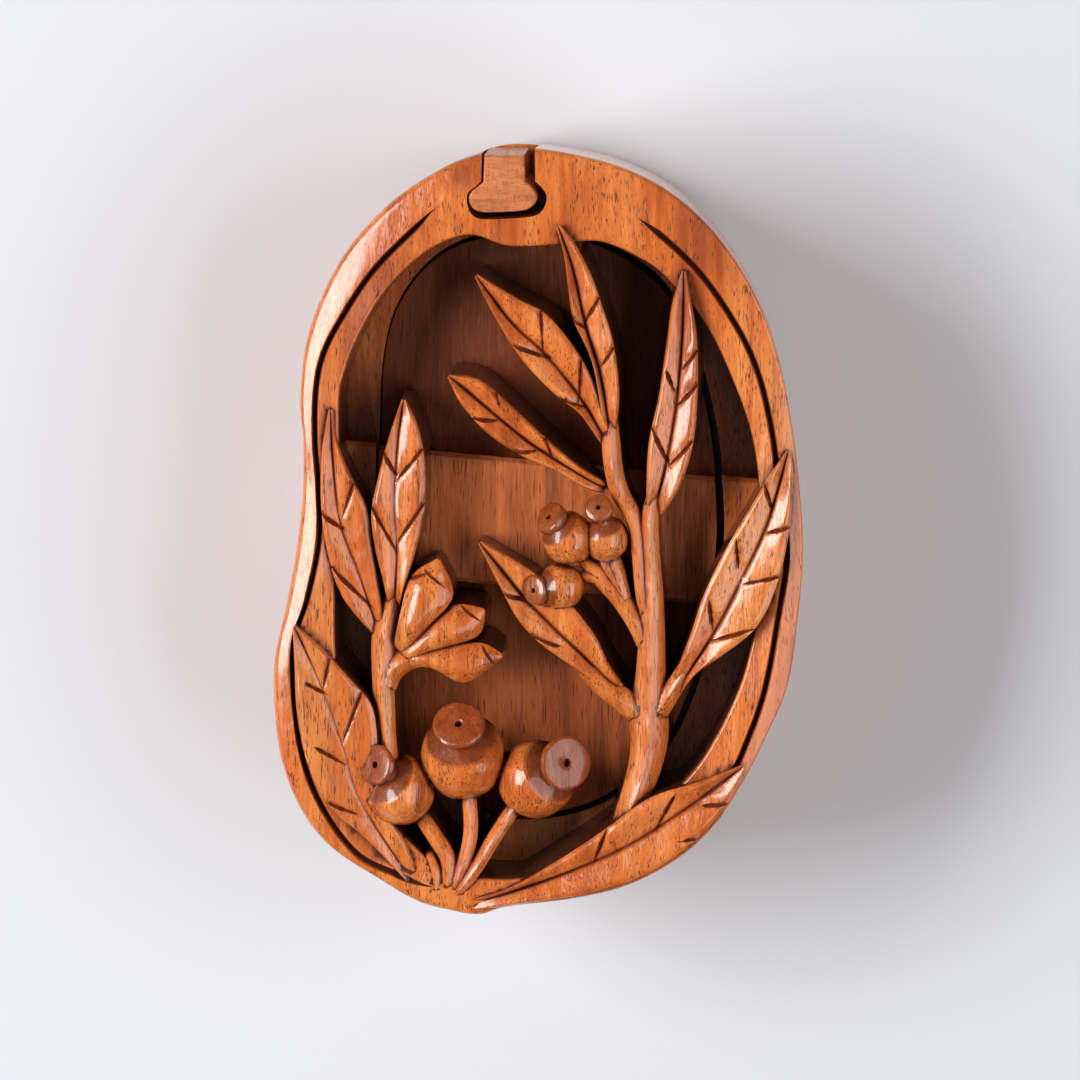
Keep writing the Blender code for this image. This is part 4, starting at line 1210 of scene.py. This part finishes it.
def vein_cutter(name, vein, surface, tip):
    """Makes the body that cuts a side vein: a steep wall and a ramp that comes from the tip."""
    first, length, along, tipward = vein_frame(vein, tip)
    above = sizes().vein_depth
    rings = []
    for share in np.linspace(0.0, 1.0, VEIN_STATIONS):
        spot = first + along * length * share
        z = surface[np.argmin(np.linalg.norm(surface[:, :2] - spot, axis=1)), 2]
        swell = VEIN_SWELL * share ** VEIN_POWERS[0] * (1.0 - share) ** VEIN_POWERS[1]
        swell = max(END_SHARE, swell)
        depth = above * swell
        wide = tipward * (sizes().vein_width * swell * (depth + above) / depth)
        rings.append([
            (*(spot - wide * VEIN_STEEP_SHARE), z + above),
            (*spot, z - depth),
            (*(spot + wide * (1.0 - VEIN_STEEP_SHARE)), z + above),
        ])
    cutter = loft(name, rings)
    cutter.data.materials.append(lacquered())
    cutter.data.materials.append(shaded_cut_wood())
    # The steep wall gets the dark wood of painted shade, the ramp the plain lacquer
    steep = [number % 3 == 0 for number in range(len(cutter.data.polygons) - 2)]
    cutter.data.polygons.foreach_set("material_index", [*steep, False, False])
    return cutter


def make_stem(name, table):
    """Makes a stem with a crisp ridge, over walls down to the seat."""
    table = np.reshape(table, (-1, 4))
    width, rise = thousandths(table[:, 2:]).T
    curve = smooth(
        np.column_stack(
            [plan(table[:, :2]), width * sizes().stem_width, rise * (RIM_TOP - SEAT)]
        ),
        STEM_STATIONS,
    )
    along = np.gradient(curve[:, :2], axis=0)
    along /= np.linalg.norm(along, axis=1)[:, None]
    square = np.column_stack([-along[:, 1], along[:, 0]])
    share = np.linspace(0.0, 1.0, STEM_STATIONS)
    full = np.clip(np.minimum(share, 1.0 - share) / END_RUN_SHARE, 0.0, 1.0) ** 0.5
    half = curve[:, 2] / 2 * (END_WIDTH_SHARE + (1.0 - END_WIDTH_SHARE) * full)
    top = RIM_TOP + curve[:, 3] - END_FALL * (1.0 - full)
    ridge = sizes().stem_ridge * half * 2 / sizes().stem_width
    low = SEAT - OVERRUN

    def beside(reach):
        return curve[:, :2] + square * reach[:, None]

    walls = [
        [
            wall_point(
                beside((half + LEAF_DRAFT * (1.0 - part)) * side),
                low + (top - ridge - low) * part, part,
            )
            for part in WALL_SHARES
        ]
        for side in (1.0, -1.0)
    ]
    upper = []
    for share in np.linspace(1.0, -1.0, STEM_COLUMNS):
        z = top - ridge * (STEM_SECTION[0] * abs(share) + STEM_SECTION[1] * share**4)
        upper.append(lifted(beside(half * share), z))
        upper[-1][:, 2] += knife(upper[-1])
    piece = loft(name, np.stack([*walls[0], *upper, *reversed(walls[1])], axis=1))
    cut(piece, [underside()])
    mark_shade_and_stain(piece, np.vstack([upper[0], upper[-1]]), ())
    finish_carving(piece)


def turned(name, profile, centre, axis):
    """Makes a turned body from (along, radius) pairs about an axis through a centre."""
    place = Matrix.Translation(centre) @ axis.to_track_quat("Z", "Y").to_matrix().to_4x4()
    turns = np.arange(FRUIT_SIDES) * math.tau / FRUIT_SIDES
    return loft(name, [
        [place @ Vector((out * math.cos(turn), out * math.sin(turn), along)) for turn in turns]
        for along, out in profile
    ])


def uneven(piece):
    """Moves a turned piece's points a little, as a knife leaves them."""
    for vertex in piece.data.vertices:
        bump = noise.noise(vertex.co / KNIFE_SPACING)
        vertex.co += vertex.normal * (bump * FRUIT_MARKS * sizes().knife_marks)


def make_fruit(name, table, radius, thickness, profile_shares, shoulder_shares):
    """Makes a round fruit with its cap, which has a small hole in it."""
    place, way, (belly, cap, rise), face = table
    centre = Vector((*plan(place)[0], RIM_TOP + rise * (RIM_TOP - SEAT)))
    axis = Vector(way) * radius
    size, edge = belly * radius, cap * radius
    shares = [*smooth(profile_shares, PROFILE_STEPS), *shoulder_shares]
    profile = [(along * size, out * size) for along, out in shares]
    neck = min(edge * NECK_SHARE, profile[-1][1])
    profile += [
        (profile[-1][0] * NECK_START, neck), (axis.length - thickness, neck),
        (axis.length - thickness * NECK_STOP, neck * NECK_END_SHARE),
    ]
    body = turned(name, profile, centre, axis)
    uneven(body)
    cut(body, [underside()])
    # Darker shoulder between belly and cap: painted shade, partly standing for staining
    away = [(vertex.co - centre).dot(axis.normalized()) for vertex in body.data.vertices]
    past = np.array(away) / size - profile_shares[-1][0]
    mark(body, SHOULDER_STAIN_AND_SHADE * np.clip(past / SHOULDER_RUN, 0.0, 1.0))
    finish_carving(body, fruit_wood())
    profile = [(along * thickness, out * edge) for along, out in CAP_PROFILE]
    top = turned(name + "_cap", profile, centre + axis, Vector(face))
    uneven(top)
    mark(top, np.full(len(top.data.vertices), CAP_STAIN))
    finish_carving(top, fruit_wood())


def body_block(name, heights):
    """Makes the box's outside over the given heights, narrowing towards the floor."""
    outline = reaches(OUTLINE)
    return loft(name, [ring(outline - side_inset(z), z) for z in heights])


def make_wall():
    """Makes the wall of the box with the tongue's ends, the ledge and the key's socket."""
    plug = reaches(PLUG)
    heights = np.linspace(FLOOR_TOP + JOINT_GAP, SEAT + TONGUE_HEIGHT, WALL_STEPS)
    shell = body_block("box_wall", heights)
    ledge_top = SEAT - INNER_LID_THICKNESS
    room = loft("room", [ring(plug - LEDGE_WIDTH, z) for z in (0.0, SEAT + OVERRUN)])
    recess = loft("recess", [ring(plug, z) for z in (ledge_top, SEAT + OVERRUN)])
    socket = key_cutter("socket", SEAT - KEY_DEPTH - JOINT_GAP)
    cut(shell, [*shoulders(0.0), room, recess, socket])
    finish(shell, "base", "base_shell", lacquered())


def make_bottom():
    """Makes the bottom slice of the box."""
    bottom = body_block("box_bottom", FLOOR_TOP * np.array(BOTTOM_SHARES))
    finish(bottom, "base", "base_floor", lacquered())


def make_inner_lid():
    """Makes the loose plug with the middle of the tongue on it."""
    plug = reaches(PLUG) - KERF_WIDTH
    low = SEAT - INNER_LID_THICKNESS + JOINT_GAP
    high = SEAT + TONGUE_HEIGHT - INNER_LID_DROP
    shift = np.array([INNER_LID_SHIFT, 0.0, 0.0])
    rings = [ring(plug, z) - shift for z in np.linspace(low, high, INNER_LID_STEPS)]
    plug_lid = loft("plug_lid", rings)
    cut(plug_lid, shoulders(-INNER_LID_DROP))
    finish(plug_lid, "inner_lid", "inner_lid", unpolished())


def make_key():
    """Makes the T-shaped key with softened top edges and its sloping foot."""
    outline = key_outline(0.0, 0.0, 0.0, 0.0)
    low = SEAT - KEY_DEPTH
    middle = outline.mean(axis=0)
    rings = [lifted(outline, z) for z in np.linspace(low, RIM_TOP - KEY_ROUND, KEY_SIDE_STEPS)]
    for share in ROUND_SHARES[1:]:
        turn = share * math.pi / 2
        shrink = 1.0 - 2 * KEY_ROUND * (1.0 - math.cos(turn)) / KEY_BULB_WIDTH
        z = RIM_TOP - KEY_ROUND * (1.0 - math.sin(turn))
        rings.append(lifted(middle + (outline - middle) * shrink, z))
    key = loft("puzzle_key", rings)
    slope_length = KEY_DEPTH / KEY_LIFT_SHARE - KEY_PLAY_RIGHT + SLIDE_GAP
    start = KEY_NECK_WIDTH / 2 - KEY_OFFSET - slope_length
    corners = [
        (start - OVERRUN, low - OVERRUN * KEY_LIFT_SHARE),
        (start + OVERRUN, low + OVERRUN * KEY_LIFT_SHARE),
        (start + OVERRUN, low - OVERRUN),
        (start - OVERRUN, low - OVERRUN),
    ]
    face = KEY_FACE_SHARE * sizes().box_length
    wedge = loft(
        "wedge",
        [[(x, y, z) for x, z in corners] for y in (face + OVERRUN, face - KEY_LENGTH - OVERRUN)],
    )
    cut(key, [wedge])
    finish(key, "key", "key", shared("end_grain_wood", end_grained_wood))


def hemisphere(count):
    """Returns evenly spread directions over the upper half of a sphere, denser at its top."""
    index = np.arange(count) + 0.5
    up = np.sqrt(1.0 - index / count)
    turn = index * math.pi * (3.0 - math.sqrt(5.0))
    level = np.sqrt(1.0 - up**2)
    return np.column_stack([level * np.cos(turn), level * np.sin(turn), up])


def sunk(spot, opening, top, fall):
    """Returns how deep a point lies inside the opening, from 0 at a height to 1."""
    turn = math.atan2(spot.y, spot.x) % math.tau
    reach = np.interp(turn, directions(), opening, period=math.tau)
    inside = math.hypot(spot.x, spot.y) < reach + BAND_ROUND
    return max(0.0, min(1.0, (top - spot.z) / fall)) if inside else 0.0


def paint_crevice_shade(pieces, opening, top, fall):
    """Writes painted shade as an attribute: how hidden each point lies among its pieces, and how
    deep inside the opening.
    """
    points, faces = [], []
    for piece in pieces:
        start = len(points)
        points += [vertex.co.copy() for vertex in piece.data.vertices]
        faces += [[start + index for index in face.vertices] for face in piece.data.polygons]
    tree = BVHTree.FromPolygons(points, faces)
    rays = [Vector(ray) for ray in hemisphere(SHADE_RAYS)]
    for piece in pieces:
        depths = []
        for vertex in piece.data.vertices:
            normal = vertex.normal
            turn = normal.to_track_quat("Z", "Y")
            origin = vertex.co + normal * SHADE_RAY_START
            # Painted occlusion shade: the share of rays that meet nearby pieces, weighed by
            # nearness
            hidden = 0.0
            for ray in rays:
                distance = tree.ray_cast(origin, turn @ ray, SHADE_REACH)[3]
                if distance is not None:
                    hidden += 1.0 - distance / SHADE_REACH
            # Painted shade deep in the opening, on faces that do not look straight up
            deep = sunk(vertex.co, opening, top, fall) * (1.0 - max(0.0, normal.z))
            depths.append(SHADE_GAIN * hidden / SHADE_RAYS + DEEP_SHADE_SHARE * deep)
        mark(piece, depths)


def add_floor():
    """Adds the plain floor that the box stands on."""
    corners = FLOOR_REACH * np.array([(-1, -1), (1, -1), (1, 1), (-1, 1)])
    floor = loft("floor", [lifted(corners, z) for z in (-FLOOR_DEPTH, 0.0)])
    paint = {"Base Color": (*wood().floor, 1.0), "Roughness": 0.9, "Specular IOR Level": 0.1}
    floor.data.materials.append(Nodes("floor_paint").feed(paint))
    floor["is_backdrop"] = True


def add_lamp(name, spot, length, width, power):
    """Adds a soft lamp with its length along the box, which points at the box."""
    lamp = bpy.data.lights.new(name, "AREA")
    lamp.shape = "RECTANGLE"
    lamp.size = length
    lamp.size_y = width
    lamp.energy = power
    lamp.color = LAMP_TINT
    result = bpy.data.objects.new(name, lamp)
    bpy.context.scene.collection.objects.link(result)
    result.location = spot
    result.rotation_mode = "QUATERNION"
    result.rotation_quaternion = Vector(spot).to_track_quat("Z", "Y")


def add_world(scene):
    """Adds the weak light from all sides."""
    scene.world = bpy.data.worlds.new("studio")
    scene.world.use_nodes = True
    background = scene.world.node_tree.nodes["Background"]
    background.inputs["Color"].default_value = WORLD_TINT
    background.inputs["Strength"].default_value = WORLD_STRENGTH


def add_camera(scene):
    """Adds the camera over the box, leaning a little to the box's right and back."""
    camera = bpy.data.cameras.new("camera")
    camera.lens = camera.sensor_width * CAMERA_DISTANCE / VIEW_WIDTH
    camera.clip_start = 0.01
    scene.camera = bpy.data.objects.new("camera", camera)
    scene.collection.objects.link(scene.camera)
    back = Vector((*map(math.tan, VIEW_LEAN), 1.0)).normalized()
    right = Vector((0.0, 1.0, 0.0)).cross(back).normalized()
    turn = Matrix((right, back.cross(right), back)).transposed().to_4x4()
    target = Vector((*VIEW_CENTRE, RIM_TOP))
    scene.camera.matrix_world = Matrix.Translation(target + back * CAMERA_DISTANCE) @ turn


class PUZZLEBOX_OT_stage(bpy.types.Operator):
    """Makes the floor, the lamps, the world and the camera"""

    bl_idname = "puzzlebox.stage"
    bl_label = "Stage"

    def execute(self, context):
        """Makes the stage."""
        context.scene.view_settings.view_transform = "Standard"
        add_floor()
        for name, form in LAMPS.items():
            add_lamp(name, *form)
        add_world(context.scene)
        add_camera(context.scene)
        return {"FINISHED"}


class PUZZLEBOX_OT_base(bpy.types.Operator):
    """Makes the bottom, the wall and the loose inner lid"""

    bl_idname = "puzzlebox.base"
    bl_label = "Base"

    def execute(self, context):
        """Makes the base."""
        make_bottom()
        make_wall()
        make_inner_lid()
        return {"FINISHED"}


class PUZZLEBOX_OT_rim(bpy.types.Operator):
    """Makes the rim of the lid"""

    bl_idname = "puzzlebox.rim"
    bl_label = "Rim"

    def execute(self, context):
        """Makes the rim."""
        make_rim()
        return {"FINISHED"}


class PUZZLEBOX_OT_leaves(bpy.types.Operator):
    """Makes the carved leaves"""

    bl_idname = "puzzlebox.leaves"
    bl_label = "Leaves"

    def execute(self, context):
        """Makes the leaves."""
        for name, table in LEAVES.items():
            make_leaf(name, table, trough, sizes().leaf_margin)
        return {"FINISHED"}


class PUZZLEBOX_OT_buds(bpy.types.Operator):
    """Makes the flower buds"""

    bl_idname = "puzzlebox.buds"
    bl_label = "Buds"

    def execute(self, context):
        """Makes the buds."""
        for name, table in BUDS.items():
            make_leaf(name, table, crown, BUD_ROUND)
        return {"FINISHED"}


class PUZZLEBOX_OT_stems(bpy.types.Operator):
    """Makes the stems and stalks"""

    bl_idname = "puzzlebox.stems"
    bl_label = "Stems"

    def execute(self, context):
        """Makes the stems."""
        for name, table in STEMS.items():
            make_stem(name, table)
        return {"FINISHED"}


class PUZZLEBOX_OT_fruits(bpy.types.Operator):
    """Makes the gumnuts and the berries"""

    bl_idname = "puzzlebox.fruits"
    bl_label = "Gumnuts and berries"

    def execute(self, context):
        """Makes the fruits."""
        for tables, *form in (
            (NUTS, sizes().nut_radius, NUT_CAP_THICKNESS, NUT_PROFILE, NUT_SHOULDER),
            (BERRIES, sizes().berry_radius, BERRY_CAP_THICKNESS, BERRY_PROFILE, BERRY_SHOULDER),
        ):
            for name, table in tables.items():
                make_fruit(name, table, *form)
        return {"FINISHED"}


class PUZZLEBOX_OT_key(bpy.types.Operator):
    """Makes the key that locks the lid"""

    bl_idname = "puzzlebox.key"
    bl_label = "Key"

    def execute(self, context):
        """Makes the key."""
        make_key()
        return {"FINISHED"}


class PUZZLEBOX_OT_crevice_shade(bpy.types.Operator):
    """Paints shade into the crevices of all pieces"""

    bl_idname = "puzzlebox.stain"
    bl_label = "Stain"

    def execute(self, context):
        """Paints shade into the pieces of each body together."""
        opening = reaches(OPENING)
        groups = {}
        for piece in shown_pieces():
            groups.setdefault(body_of(piece)[0], []).append(piece)
        tongue_top = SEAT + TONGUE_HEIGHT - INNER_LID_DROP
        for body, pieces in groups.items():
            if body == "lid":
                paint_crevice_shade(pieces, opening, RIM_TOP - SHADE_TOP, SHADE_FALL)
            else:
                paint_crevice_shade(pieces, opening, tongue_top, TONGUE_HEIGHT * 2)
        return {"FINISHED"}


OPERATORS = (
    PUZZLEBOX_OT_stage,
    PUZZLEBOX_OT_base,
    PUZZLEBOX_OT_rim,
    PUZZLEBOX_OT_leaves,
    PUZZLEBOX_OT_buds,
    PUZZLEBOX_OT_stems,
    PUZZLEBOX_OT_fruits,
    PUZZLEBOX_OT_key,
    PUZZLEBOX_OT_crevice_shade,
)


class PUZZLEBOX_PT_panel(bpy.types.Panel):
    """Lists the sizes, the finish and the steps of the puzzle box"""

    bl_idname = "PUZZLEBOX_PT_panel"
    bl_label = "Puzzle Box"
    bl_space_type = "VIEW_3D"
    bl_region_type = "UI"
    bl_category = "Puzzle Box"

    def draw(self, context):
        """Draws the panel."""
        for group in (context.scene.puzzle_box_sizes, context.scene.puzzle_box_wood):
            for name in group.__annotations__:
                self.layout.prop(group, name)
        for operator in OPERATORS:
            self.layout.operator(operator.bl_idname)


CLASSES = (BoxSizes, WoodFinish, *OPERATORS, PUZZLEBOX_PT_panel)


def register():
    """Registers the add-on."""
    for cls in CLASSES:
        bpy.utils.register_class(cls)
    bpy.types.Scene.puzzle_box_sizes = PointerProperty(type=BoxSizes)
    bpy.types.Scene.puzzle_box_wood = PointerProperty(type=WoodFinish)


def unregister():
    """Unregisters the add-on."""
    del bpy.types.Scene.puzzle_box_wood
    del bpy.types.Scene.puzzle_box_sizes
    for cls in reversed(CLASSES):
        bpy.utils.unregister_class(cls)


def main():
    """Makes the whole box."""
    register()
    for operator in OPERATORS:
        group, name = operator.bl_idname.split(".")
        getattr(getattr(bpy.ops, group), name)()
    bpy.context.view_layer.update()


if __name__ == "__main__":
    main()
